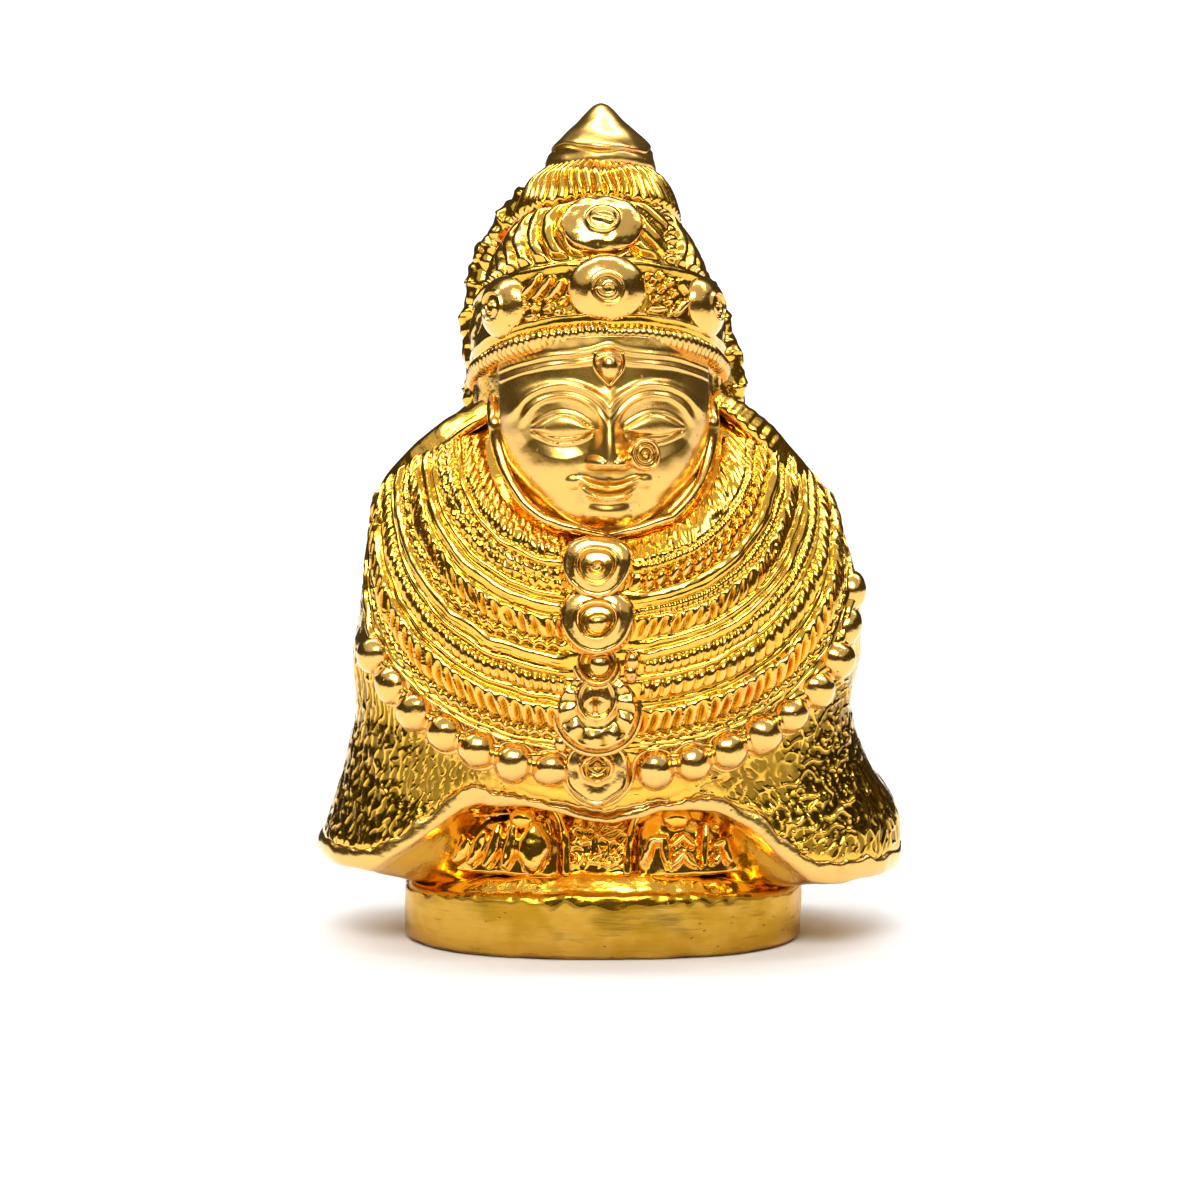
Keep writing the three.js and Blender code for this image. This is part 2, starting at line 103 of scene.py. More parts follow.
# tiers of the crown, its ruffle and its tip: height at the sides, half-width, half-depth, depth shift, tilt
# in degrees
CROWN = np.array([
    [39.6, 8.2, 9.8, -0.6, 20],
    [40.1, 8.75, 10.55, -0.6, 20],
    [40.7, 8.75, 10.6, -0.6, 20],
    [41.1, 8.7, 10.4, -0.5, 20],
    [41.5, 9.05, 10.7, -0.4, 20],
    [42.0, 8.95, 10.5, -0.3, 20],
    [45.0, 8.85, 10.0, 0.1, 20],
    [45.6, 8.85, 9.95, 0.2, 20],
    [46.2, 8.0, 8.9, 0.3, 20],
    [48.7, 7.0, 7.9, 0.7, 20],
    [51.4, 5.3, 6.2, 1.0, 20],
])
RUFFLE = np.array([
    [51.2, 5.8, 6.3, 1.0, 19],
    [51.7, 6.0, 6.5, 1.0, 18],
    [53.2, 5.5, 5.8, 1.0, 15],
    [54.5, 4.75, 4.95, 1.0, 12],
    [55.6, 3.5, 3.6, 1.0, 8],
])
FINIAL_X = 0.35
FINIAL = np.array([
    [54.7, 3.6, 3.6, 1.0, 8],
    [55.2, 3.9, 3.9, 1.0, 7],
    [55.7, 3.92, 3.92, 1.0, 6],
    [56.2, 3.75, 3.75, 1.0, 6],
    [56.8, 3.55, 3.55, 1.0, 5],
    [57.4, 3.05, 3.05, 1.0, 4],
    [58.1, 2.35, 2.35, 1.0, 3],
    [58.9, 1.5, 1.5, 1.0, 2],
    [59.5, 0.9, 0.9, 1.0, 1],
    [59.85, 0.5, 0.5, 1.0, 0],
    [60.0, 0.15, 0.15, 1.0, 0],
])
# points that each strand and each band runs through, from the top down
STRANDS = {
    "left": [[-4.9, 2.2, 53.2], [-7.3, 2.8, 50.2], [-8.8, 2.6, 46], [-8.7, 1.6, 41.6], [-8.6, 0.4, 37.6]],
    "right": [[4.2, 2.4, 50.8], [6.4, 2.6, 47.4], [8.3, 2.2, 43.2], [8.9, 1.2, 40.2], [9.0, 0.4, 37.4]],
}
BANDS = {
    "left": [[-7.3, -3.6, 38.8], [-10.4, -4.2, 36.9], [-13.2, -3.9, 34.6], [-15.5, -3.2, 32.0]],
    "right": [[7.6, -3.6, 39.3], [10.5, -4.3, 37.1], [13.4, -4.0, 34.0], [15.9, -3.2, 30.8]],
}
# middle and half-width of each foot
FEET = {"left": (-7.25, 4.4), "right": (6.8, 4.75)}
# heights of the sole and the arch, place behind the plinth's edge, fall to the sides, and lean above a level
FOOT = {"sole": 6.1, "arch": 4.75, "inset": 1.1, "fall": 1.4, "slope": 0.24, "level": 6.0}

# lens and sensor, angle above the figure, place across it, and the height looked at
CAMERA = {"lens": 109.7, "sensor": 36, "rise": math.radians(7.5), "x": -0.217, "target": 24.4}
ROOM_COLOUR = (0.06, 0.047, 0.022, 1)
PAPER_COLOUR = (0.93, 0.93, 0.93, 1)


# Numbers


def lerp(start, end, part):
    """start + (end - start) part."""
    return start + (end - start) * part


def smooth(values, low, high):
    """0 below low, 1 above high, and 3t^2 - 2t^3 between them."""
    part = np.clip((values - low) / (high - low), 0, 1)
    return part * part * (3 - 2 * part)


def ridge(distance, width):
    """A rounded ridge: exp(-(distance / width)^2)."""
    return np.exp(-((distance / width) ** 2))


def dome(distance):
    """Half-round: sqrt(1 - distance^2), 0 outside distance 1."""
    return np.sqrt(np.clip(1 - distance**2, 0, 1))


def saw(turns):
    """A tooth once a turn: 1 at whole turns, 0 halfway between them."""
    return np.abs(2 * (turns - np.floor(turns)) - 1)


def wander(a, b, seed, waves=9):
    """Smooth uneven field of about -1 to 1: 1.6 times the mean of sine waves of random direction and phase,
    with periods near 1."""
    rng = np.random.default_rng(seed)
    total = 0
    for turn, phase, pace in rng.uniform((0, 0, 0.65), (2 * np.pi, 2 * np.pi, 1.35), (waves, 3)):
        total = total + np.sin(2 * np.pi * pace * (a * np.cos(turn) + b * np.sin(turn)) + phase)
    return total * 1.6 / waves


def profile(rows, height):
    """Cubic curve through rows whose first column is the height. The slope at a row is that between its
    neighbours."""
    at = np.clip(height, rows[0, 0], rows[-1, 0])
    i = np.clip(np.searchsorted(rows[:, 0], at, side="right") - 1, 0, len(rows) - 2)
    step = np.arange(len(rows))
    before = np.maximum(step - 1, 0)
    after = np.minimum(step + 1, len(rows) - 1)
    slope = (rows[after] - rows[before]) / (rows[after, :1] - rows[before, :1])
    span = (rows[i + 1, 0] - rows[i, 0])[..., None]
    t = (np.asarray(at)[..., None] - rows[i, :1]) / span
    start = 2 * t**3 - 3 * t**2 + 1
    bend = (t**3 - 2 * t**2 + t) * span * slope[i] + (t**3 - t**2) * span * slope[i + 1]
    values = start * rows[i] + (1 - start) * rows[i + 1] + bend
    return np.moveaxis(values[..., 1:], -1, 0)


def stack(x, y, z):
    """Points (x, y, z), each of the three spread to the shape of all."""
    return np.stack(np.broadcast_arrays(x, y, z), -1).astype(float)


def unit(vectors):
    """Each vector over its length."""
    return vectors / np.maximum(np.linalg.norm(vectors, axis=-1, keepdims=True), 1e-12)


def normals(grid, around=True):
    """Unit cross product of the grid's two differences: along the columns, which may close, and along the
    rows."""
    if around:
        across = np.roll(grid, -1, 1) - np.roll(grid, 1, 1)
    else:
        across = np.gradient(grid, axis=1)
    return unit(np.cross(across, np.gradient(grid, axis=0)))


def blurred(values, reach_rows, reach_columns, around=True):
    """Mean of the values within a window of grid steps, worked out along the rows and then the columns."""
    result = values
    for axis, reach, mode in ((0, reach_rows, "edge"), (1, reach_columns, "wrap" if around else "edge")):
        pad = [(0, 0), (0, 0)]
        pad[axis] = (reach + 1, reach)
        total = np.cumsum(np.pad(result, pad, mode=mode), axis=axis)
        size = 2 * reach + 1
        low = [slice(None)] * 2
        high = [slice(None)] * 2
        low[axis], high[axis] = slice(0, -size), slice(size, None)
        result = (total[tuple(high)] - total[tuple(low)]) / size
    return result


def wear_and_shade_of(height, reach_rows=4, reach_columns=4, around=True, scale=0.15):
    """From -1 in hollows, where shade is painted, to 1 on high places, which are rubbed pale: the height
    less its blurred self, over the scale.
    """
    return np.clip((height - blurred(height, reach_rows, reach_columns, around)) / scale, -1, 1)


def strokes(x, z, lines):
    """Raised leaf-shaped strokes: for each (x0, z0, x1, z1, half-width, height) the half-round height over
    the nearest point of the segment, its width fullest halfway, and the highest of them at each place."""
    total = np.zeros(np.broadcast(x, z).shape)
    for x0, z0, x1, z1, half_width, height in lines:
        length = max((x1 - x0) ** 2 + (z1 - z0) ** 2, 1e-9)
        part = np.clip(((x - x0) * (x1 - x0) + (z - z0) * (z1 - z0)) / length, 0, 1)
        taper = half_width * (0.6 + 0.4 * np.sin(np.pi * part) ** 0.7)
        distance = np.hypot(x - lerp(x0, x1, part), z - lerp(z0, z1, part)) / taper
        total = np.maximum(total, height * dome(distance))
    return total


# Meshes


def tube(rings, wear_and_shade=None, caps=True):
    """One closed surface through rings of points, each end gathered to the middle of its last ring.
    Without caps the last ring joins the first."""
    count, size = rings.shape[:2]
    points = rings.reshape(-1, 3)
    wear_and_shade = np.zeros((count, size)) if wear_and_shade is None else np.broadcast_to(wear_and_shade, (count, size))
    values = wear_and_shade.reshape(-1)
    column = np.arange(size)
    following = (column + 1) % size
    row = np.arange(count if not caps else count - 1)[:, None]
    above = (row + 1) % count
    quads = np.stack(
        [row * size + column, row * size + following, above * size + following, above * size + column], -1)
    triangles = np.zeros((0, 3), int)
    if caps:
        points = np.vstack([points, rings[0].mean(0), rings[-1].mean(0)])
        values = np.append(values, [wear_and_shade[0].mean(), wear_and_shade[-1].mean()])
        low, high, last = count * size, count * size + 1, (count - 1) * size
        triangles = np.vstack([
            np.stack([np.full(size, low), following, column], -1),
            np.stack([np.full(size, high), last + column, last + following], -1),
        ])
    quads = quads.reshape(-1, 4)
    corners = points - points.mean(0)
    halves = np.vstack([quads[:, :3], quads[:, [0, 2, 3]], triangles])
    first, second, third = (corners[halves[:, k]] for k in range(3))
    volume = np.einsum("ij,ij->", first, np.cross(second, third))
    if volume < 0:
        quads, triangles = quads[:, ::-1], triangles[:, ::-1]
    return points, quads, triangles, values


def hand_made(points, amount):
    """Unevenness of hand work: each point moved by sine waves of its own place, with periods of about 3 and
    1.2 mm."""
    rng = np.random.default_rng(12)
    moved = points.copy()
    for period, share, waves in ((3.0, 1.0, 10), (1.2, 0.35, 12)):
        for axis in range(3):
            total = 0
            for direction in unit(rng.normal(size=(waves, 3))):
                total = total + np.sin(points @ direction * (2 * np.pi / period) + rng.uniform(0, 2 * np.pi))
            moved[:, axis] += amount * share * total * 1.4 / waves
    return moved


def make_piece(name, parts, material, uneven=0.08):
    """One mesh of several closed surfaces, in the frame's place and unit, that stands for the figure's
    solid."""
    points, quads, triangles, wear_and_shade = [], [], [], []
    offset = 0
    for part_points, part_quads, part_triangles, part_wear_and_shade in parts:
        points.append(part_points)
        quads.append(part_quads + offset)
        triangles.append(part_triangles + offset)
        wear_and_shade.append(part_wear_and_shade)
        offset += len(part_points)
    places = (hand_made(np.vstack(points), uneven) + CENTRE) * MM
    quads, triangles = np.vstack(quads), np.vstack(triangles)
    mesh = bpy.data.meshes.new(name)
    mesh.vertices.add(len(places))
    mesh.vertices.foreach_set("co", places.astype(np.float32).ravel())
    corners = np.concatenate([quads.ravel(), triangles.ravel()])
    sizes = np.concatenate([np.full(len(quads), 4), np.full(len(triangles), 3)])
    mesh.loops.add(len(corners))
    mesh.loops.foreach_set("vertex_index", corners.astype(np.int32))
    mesh.polygons.add(len(sizes))
    mesh.polygons.foreach_set("loop_start", (np.cumsum(sizes) - sizes).astype(np.int32))
    mesh.update(calc_edges=True)
    mesh.polygons.foreach_set("use_smooth", np.ones(len(sizes), bool))
    # Point values: rubbed pale above 0, painted shade below 0, painted reddish reflection above 1.2.
    layer = mesh.attributes.new("wear_and_shade", "FLOAT", "POINT")
    layer.data.foreach_set("value", np.concatenate(wear_and_shade).astype(np.float32))
    mesh.update()
    mesh.materials.append(material)
    piece = bpy.data.objects.new(name, mesh)
    bpy.context.scene.collection.objects.link(piece)
    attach(piece, "root")
    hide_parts(NODE)
    return piece


def path_frames(points, steps):
    """Smooth path through points, evenly spaced, with two directions square to it and the length at each
    step."""
    points = np.array(points, float)
    rows = np.column_stack([np.arange(len(points)), points])
    fine = profile(rows, np.linspace(0, len(points) - 1, 400)).T
    length = np.append(0, np.cumsum(np.linalg.norm(np.diff(fine, axis=0), axis=1)))
    at = np.linspace(0, length[-1], steps)
    path = np.stack([np.interp(at, length, fine[:, k]) for k in range(3)], -1)
    along = unit(np.gradient(path, axis=0))
    side = unit(np.cross(along, [0.0, -1.0, 0.0]))
    return path, side, unit(np.cross(side, along)), at


def sweep(points, steps, sides, radius_at):
    """Tube round a path: path + radius (cos a * side + sin a * up), the radius a function of length and
    angle."""
    path, side, up, at = path_frames(points, steps)
    angle = np.arange(sides) * 2 * np.pi / sides
    radius, wear_and_shade = radius_at(at[:, None], angle[None, :])
    rings = path[:, None] + radius[..., None] * (
        np.cos(angle)[None, :, None] * side[:, None] + np.sin(angle)[None, :, None] * up[:, None])
    return tube(rings, wear_and_shade)


def ball(place, radii, columns=28, rows=16, bumps=0.0, seed=1):
    """Ball: radii times (cos a sin b, sin a sin b, cos b), its surface moved in and out by a smooth uneven
    field."""
    angle = np.arange(columns)[None, :] * 2 * np.pi / columns
    fall = np.linspace(0.02, np.pi - 0.02, rows)[:, None]
    direction = stack(np.cos(angle) * np.sin(fall), np.sin(angle) * np.sin(fall), -np.cos(fall))
    field = wander(direction[..., 0] + direction[..., 2] * 0.6, direction[..., 1] * 0.8 + seed, seed)
    uneven = 1 + bumps * field
    return tube(np.array(place) + direction * np.array(radii) * uneven[..., None])


def disc(place, normal, radius_at, height_at, rings=34, columns=72, depth=1.6):
    """Round or shaped boss on a normal: a wall from below the surface up to the rim, then rings in to the
    middle. radius_at gives the rim's distance for an angle, and height_at the relief for a share of it and
    the angle."""
    out = unit(np.array(normal, float))
    side = -unit(np.cross([0.0, 0.0, 1.0], out))
    up = np.cross(side, out)
    up = up * np.sign(up[2])
    angle = np.arange(columns)[None, :] * 2 * np.pi / columns
    share = np.concatenate([[1.0, 1.0, 1.0], np.linspace(0.985, 0.03, rings)])[:, None]
    height = height_at(share, angle) * np.ones_like(angle)
    height[0] = -depth
    height[1] = height[1] * 0.35 - 0.1
    reach = radius_at(angle) * share
    flat = side * (reach * np.cos(angle))[..., None] + up * (reach * np.sin(angle))[..., None]
    wear_and_shade = wear_and_shade_of(height, 3, 4, True, 0.2)
    # The wall and the rim's foot get -0.6: painted shade where the boss meets the surface under it.
    wear_and_shade[:2] = -0.6
    return tube(np.array(place) + flat + out * height[..., None], wear_and_shade)


# Finish


class Value:
    """A shader socket that can be used in sums: each operator adds the Math node for it."""

    def __init__(self, tree, socket):
        self.tree = tree
        self.socket = socket

    def sum_with(self, operation, other, swapped=False):
        """The Math node of this value and another, which comes first where they are swapped."""
        pair = [other, self] if swapped else [self, other]
        return self.tree.add("ShaderNodeMath", {"operation": operation}, {0: pair[0], 1: pair[1]})

    def __add__(self, other):
        return self.sum_with("ADD", other)

    def __radd__(self, other):
        return self.sum_with("ADD", other, True)

    def __sub__(self, other):
        return self.sum_with("SUBTRACT", other)

    def __rsub__(self, other):
        return self.sum_with("SUBTRACT", other, True)

    def __mul__(self, other):
        return self.sum_with("MULTIPLY", other)

    def __rmul__(self, other):
        return self.sum_with("MULTIPLY", other, True)

    def between(self, low, high):
        """0 at low, 1 at high, smooth between them."""
        inputs = {0: self, 1: low, 2: high, 3: 0.0, 4: 1.0}
        return self.tree.add("ShaderNodeMapRange", {"interpolation_type": "SMOOTHSTEP"}, inputs)


class Finish:
    """A material's nodes, added one by one to a Principled shader."""

    def __init__(self, name, metallic=1.0):
        self.material = bpy.data.materials.new(name)
        self.material.use_nodes = True
        self.nodes = self.material.node_tree.nodes
        self.links = self.material.node_tree.links
        self.shader = self.nodes["Principled BSDF"]
        self.shader.inputs["Metallic"].default_value = metallic

    def add(self, kind, settings=None, inputs=None, output=0):
        """Any node: its type, its settings, the values or links of its sockets, and the output to use."""
        node = self.nodes.new(kind)
        for key, value in (settings or {}).items():
            setattr(node, key, value)
        for key, value in (inputs or {}).items():
            self.put(node.inputs[key], value)
        return Value(self, node.outputs[output])

    def put(self, socket, value):
        if isinstance(value, Value):
            self.links.new(value.socket, socket)
        else:
            socket.default_value = value

    def feed(self, name, value):
        self.put(self.shader.inputs[name], value)

    def blend(self, factor, first, second):
        return self.add("ShaderNodeMix", {"data_type": "RGBA"}, {0: factor, 6: first, 7: second}, output=2)

    def place(self):
        """Object coordinates."""
        return self.add("ShaderNodeTexCoord", output=3)

    def clouds(self, scale, detail=2.0, stretch=(1, 1, 1)):
        """Soft noise of about 0 to 1 on the piece's own place, its period the scale in millimetres."""
        at = self.add("ShaderNodeMapping", {}, {0: self.place(), 3: [s / (scale * MM) for s in stretch]})
        inputs = {"Vector": at, "Scale": 1.0, "Detail": detail, "Roughness": 0.55}
        return self.add("ShaderNodeTexNoise", {}, inputs)

    def pits(self, spacing, size, stretch=(1, 1, 1)):
        """1 in small round pits and 0 between them: the distance to scattered points under the size."""
        at = self.add("ShaderNodeMapping", {}, {0: self.place(), 3: [s / (spacing * MM) for s in stretch]})
        near = self.add("ShaderNodeTexVoronoi", {}, {"Vector": at, "Scale": 1.0, "Randomness": 1.0})
        return 1 - near.between(size * 0.5, size)


def with_alpha(colour):
    """The colour as opaque."""
    return (*colour, 1.0)


def gold_finish(name, settings, rubbed, roughness, hammered=0.05, hollow_colour=None):
    """Polished gold plate, tan where it is rubbed, painted shade in hollows, a little copper tint in random
    patches with painted reddish reflection at a few spots, and small pits."""
    finish = Finish(name)
    wear_and_shade = finish.add("ShaderNodeAttribute", {"attribute_name": "wear_and_shade"}, output=2)
    patches = finish.clouds(3.0, 3.0)
    high = wear_and_shade.between(0.15, 0.9) * (0.35 + 0.65 * patches.between(0.35, 0.65))
    hollow = (0 - wear_and_shade).between(0.1, 0.95)
    pale = rubbed + high * (1 - rubbed) * 0.85
    shade = finish.blend(pale, with_alpha(settings.gold), with_alpha(settings.rubbed))
    # Painted shade: hollows darken to the hollow colour.
    shade = finish.blend(hollow * 0.85, shade, with_alpha(hollow_colour or settings.hollow))
    # Copper tint in random patches, and painted reddish reflection where the point value passes 1.2.
    copper_and_reflection = finish.clouds(2.2, 1.0).between(0.66, 0.78) * 0.4 + wear_and_shade.between(1.2, 1.9) * 0.85
    shade = finish.blend(copper_and_reflection, shade, with_alpha(settings.copper_and_reflection))
    specks = finish.pits(0.9, 0.11) * finish.clouds(5.0, 1.0).between(0.45, 0.6)
    shade = finish.blend(specks * 0.7, shade, with_alpha(settings.pit))
    finish.feed("Base Color", shade)
    finish.feed("Roughness", roughness + patches * 0.07 + hollow * 0.08 + specks * 0.3)
    finish.feed("Coat Weight", (1 - hollow * 0.85) * settings.coat)
    finish.feed("Coat Roughness", 0.06)
    skin = finish.clouds(0.28, 2.0) * 0.25 + finish.clouds(1.1, 2.0)
    height = skin - specks * 0.6
    bump = finish.add("ShaderNodeBump", {}, {"Strength": 1.0, "Distance": hammered * MM, "Height": height})
    finish.feed("Normal", bump)
    return finish.material


def filed_finish(name, settings):
    """Gold plate over a filed side: satin, with fine level scratches, small pits and uneven tone."""
    finish = Finish(name)
    streaks = finish.clouds(0.22, 3.0, (0.09, 0.09, 1.0))
    tone = finish.clouds(4.0, 3.0, (1.0, 1.0, 1.6))
    specks = finish.pits(0.75, 0.13, (0.6, 0.6, 1.4)) * finish.clouds(2.5, 1.0).between(0.4, 0.6)
    marks = streaks.between(0.62, 0.7)
    dark = tone.between(0.35, 0.65)
    shade = finish.blend(dark, with_alpha(settings.filed), with_alpha(settings.filed_dark))
    shade = finish.blend(specks * 0.8 + marks * 0.25, shade, with_alpha(settings.pit))
    finish.feed("Base Color", shade)
    finish.feed("Roughness", settings.satin + tone * 0.12 + marks * 0.1)
    height = streaks + tone * 0.3 - specks * 1.5
    bump = finish.add("ShaderNodeBump", {}, {"Strength": 0.5, "Distance": 0.05 * MM, "Height": height})
    finish.feed("Normal", bump)
    return finish.material


def plain_finish(name, colour, roughness):
    """Matt paper of one colour."""
    finish = Finish(name, 0.0)
    finish.feed("Base Color", with_alpha(colour))
    finish.feed("Roughness", roughness)
    return finish.material


def shared(name, make, *arguments):
    """The material of that name, made when it is first asked for."""
    return bpy.data.materials.get(name) or make(name, *arguments)


def polished(settings):
    return shared("polished gold plate", gold_finish, settings, 0.0, settings.polish)


def rubbed(settings):
    return shared("rubbed gold plate", gold_finish, settings, 0.75, settings.polish + 0.04)


def chased(settings):
    # Its hollow colour is the dark olive of painted shade, partly patina.
    return shared("chased gold plate", gold_finish, settings, 0.0, settings.polish, 0.05, settings.patina_and_shade)


def worn_hem(settings):
    return shared("worn hem", gold_finish, settings, 0.85, settings.polish + 0.1, 0.08)


def calm(settings):
    return shared("calm gold plate", gold_finish, settings, 0.75, settings.polish + 0.13, 0.03)


def filed(settings):
    return shared("filed side", filed_finish, settings)


# Plinth and cloak


def rounded(angle, half_width, front, back, power):
    """Superellipse: signed cos and sin to the power 2 / power, times the half-width and the depth of that
    side."""
    def bend(value):
        return np.sign(value) * np.abs(value) ** (2 / power)
    depth = np.where(np.sin(angle) < 0, front, back)
    return half_width * bend(np.cos(angle)), depth * bend(np.sin(angle))


def front_angles(count, crowding):
    """Angles once round from the front, closer together there: 2 pi t - crowding sin(2 pi t) - 90 degrees."""
    t = np.arange(count) / count
    return 2 * np.pi * t - crowding * np.sin(2 * np.pi * t) - np.pi / 2


# kinds of the plinth's rings
UNDERSIDE, SIDE, BEVEL, TOP = range(4)


def plinth_rows():
    """Inset, height or share of the height, and kind of each ring, from the underside to the middle of the
    top."""
    rows = [(0.6, 0.0, UNDERSIDE), (0.3, 0.08, UNDERSIDE), (0.1, 0.3, UNDERSIDE)]
    rows += [(0.0, part, SIDE) for part in np.linspace(0.08, 1, 22)]
    bevel = ((0.06, 0.3), (0.14, 0.6), (0.24, 0.88), (0.36, 1.0), (0.55, 1.06))
    rows += [(inset, part, BEVEL) for inset, part in bevel]
    rows += [(inset, 0, TOP) for inset in (0.7, 0.85, 1.0, 1.2, 1.4, 1.7, 2.1, 2.6, 3.3, 4.2, 5.2, 6.5)]
    return rows


def plinth_surface():
    """Rings of a superellipse from the underside over a small bevel, up the side, over an uneven filed lip
    and in over the top, which rises towards the feet. The lip's height is lerp(side, front, f), where f is
    the squared sine of the angle in front and 0 behind."""
    angle = front_angles(320, 0.3)[None, :]
    frontness = np.clip(-np.sin(angle), 0, 1) ** 2
    across = PLINTH["half_width"] * np.cos(angle)
    lip = lerp(PLINTH["side"], PLINTH["front"], frontness)
    lip = lip + 0.12 * wander(across / 3.5, angle, 3) * frontness
    uneven = 1 + 0.45 * wander(across / 1.6, angle, 4)
    bite = (0.4 + 0.65 * frontness * ridge(across - 1.5, 5.0)) * uneven
    rings, kinds = [], []
    for inset, part, kind in plinth_rows():
        if kind == UNDERSIDE:
            height = part + 0 * lip
        elif kind == SIDE:
            height = lerp(0.3, 1.0, part) * (lip - bite)
            height = np.where(part < 0.1, 0.35, height)
        elif kind == BEVEL:
            height = lip - bite * (1 - part)
        else:
            rise = lerp(0.16 * (inset - 0.55), 1.3 * smooth(inset, 0.3, 1.7), frontness)
            height = lip + 0.06 * bite + rise
        swell = 0.05 * wander(across / 5, height / 3, 5) if kind == SIDE else 0
        depth = PLINTH["half_depth"] - inset + swell
        x, y = rounded(angle, PLINTH["half_width"] - inset + swell, depth, depth, PLINTH["power"])
        if kind == BEVEL:
            y = y + 0.07 * wander(across / 0.9, height / 0.6, 8)
        rings.append(stack(x, y, height)[0])
        kinds.append(kind)
    return np.array(rings), np.array(kinds)


def cloak_outline(angle, height, outset=0.0):
    """The cloak's superellipse at a height, shifted sideways, an outset larger all round."""
    half_width, front, back, shift = profile(CLOAK, height)
    x, y = rounded(angle, half_width + outset, front + outset, back + outset, CLOAK_POWER)
    return x + shift, y


def chest_hollow(x, height):
    """How far the cloth lies back round the jaw and over the feet: two smooth patches, in millimetres."""
    jaw = 1.4 * smooth(1 - ((x + 0.4) / 10.2) ** 2 - ((height - 36.8) / 8.8) ** 2, 0.0, 0.45)
    tuck = 1.8 * (1 - smooth(height, 10.5, 15.5)) * (1 - smooth(np.abs(x), 9.0, 16.0))
    return jaw + tuck


def hem_height(x, front):
    """Lower edge: level behind, two arches over the feet in front with a dip between them."""
    across = np.abs(x)
    start = np.where(x < 0, ARCHES["left"][0], ARCHES["right"][0])
    end = np.where(x < 0, ARCHES["left"][1], ARCHES["right"][1])
    arch = 1 - smooth(across, start, end)
    dip = 1 - smooth(across, 0, 5.5)
    return HEM["height"] + HEM["slope"] * x + front * (HEM["arch"] * arch - HEM["dip"] * dip)


def under_garland(x, z):
    """Below 1 under the rows of necklaces, 1 along the outmost row, more outside it: (x / w)^p + (drop /
    d)^p."""
    half_width = ROWS["half_width"][1] + np.where(x > 0, ROWS["stretch"], 0)
    top, bottom = ROWS["top"][1], ROWS["bottom"][1]
    drop = np.clip((top - z) / (top - bottom), 0, 2)
    return (np.abs(x) / half_width) ** ROWS["power"] + drop ** ROWS["power"]


def net_relief(length, height, seed):
    """Net of thin wavy strands, mostly upright: the higher of two crossing families of ridges,
    exp(-(sin(pi turns) / width)^2), bent by uneven fields."""
    bend = wander(length / 1.7, height / 2.4, seed) * 0.42
    bend = bend + wander(length / 0.9, height / 1.1, seed + 1) * 0.2
    lean = wander(length / 1.5, height / 2.1, seed + 2) * 0.45
    first = ridge(np.sin(np.pi * (length / 0.8 + height * 0.16 + bend)), 0.5)
    second = ridge(np.sin(np.pi * (length / 1.05 - height * 0.3 + lean)), 0.4)
    return 0.17 * np.maximum(first, 0.8 * second)


def grain_relief(length, height, seed):
    """Scattered round grains, about a third of them missing."""
    across = length / 0.78 + 0.3 * wander(length / 1.3, height / 1.3, seed)
    up = height / 0.9 + 0.3 * wander(length / 1.2, height / 1.4, seed + 1) + 0.5 * np.floor(across)
    grains = dome(np.minimum(1.75 * np.hypot(saw(across + 0.5), saw(up + 0.5)), 1))
    keep = smooth(wander(np.floor(across) * 0.37, np.floor(up) * 0.41, seed + 2), -0.5, 0.1)
    return 0.22 * grains * keep


def curl_relief(length, height, seed):
    """Short raised curls: where an uneven field passes through nothing, broken by another."""
    field = np.abs(wander(length / 1.5, height / 1.35, seed))
    broken = smooth(wander(length / 1.9, height / 1.7, seed + 1), -0.35, 0.1)
    return 0.22 * ridge(field, 0.16) * broken


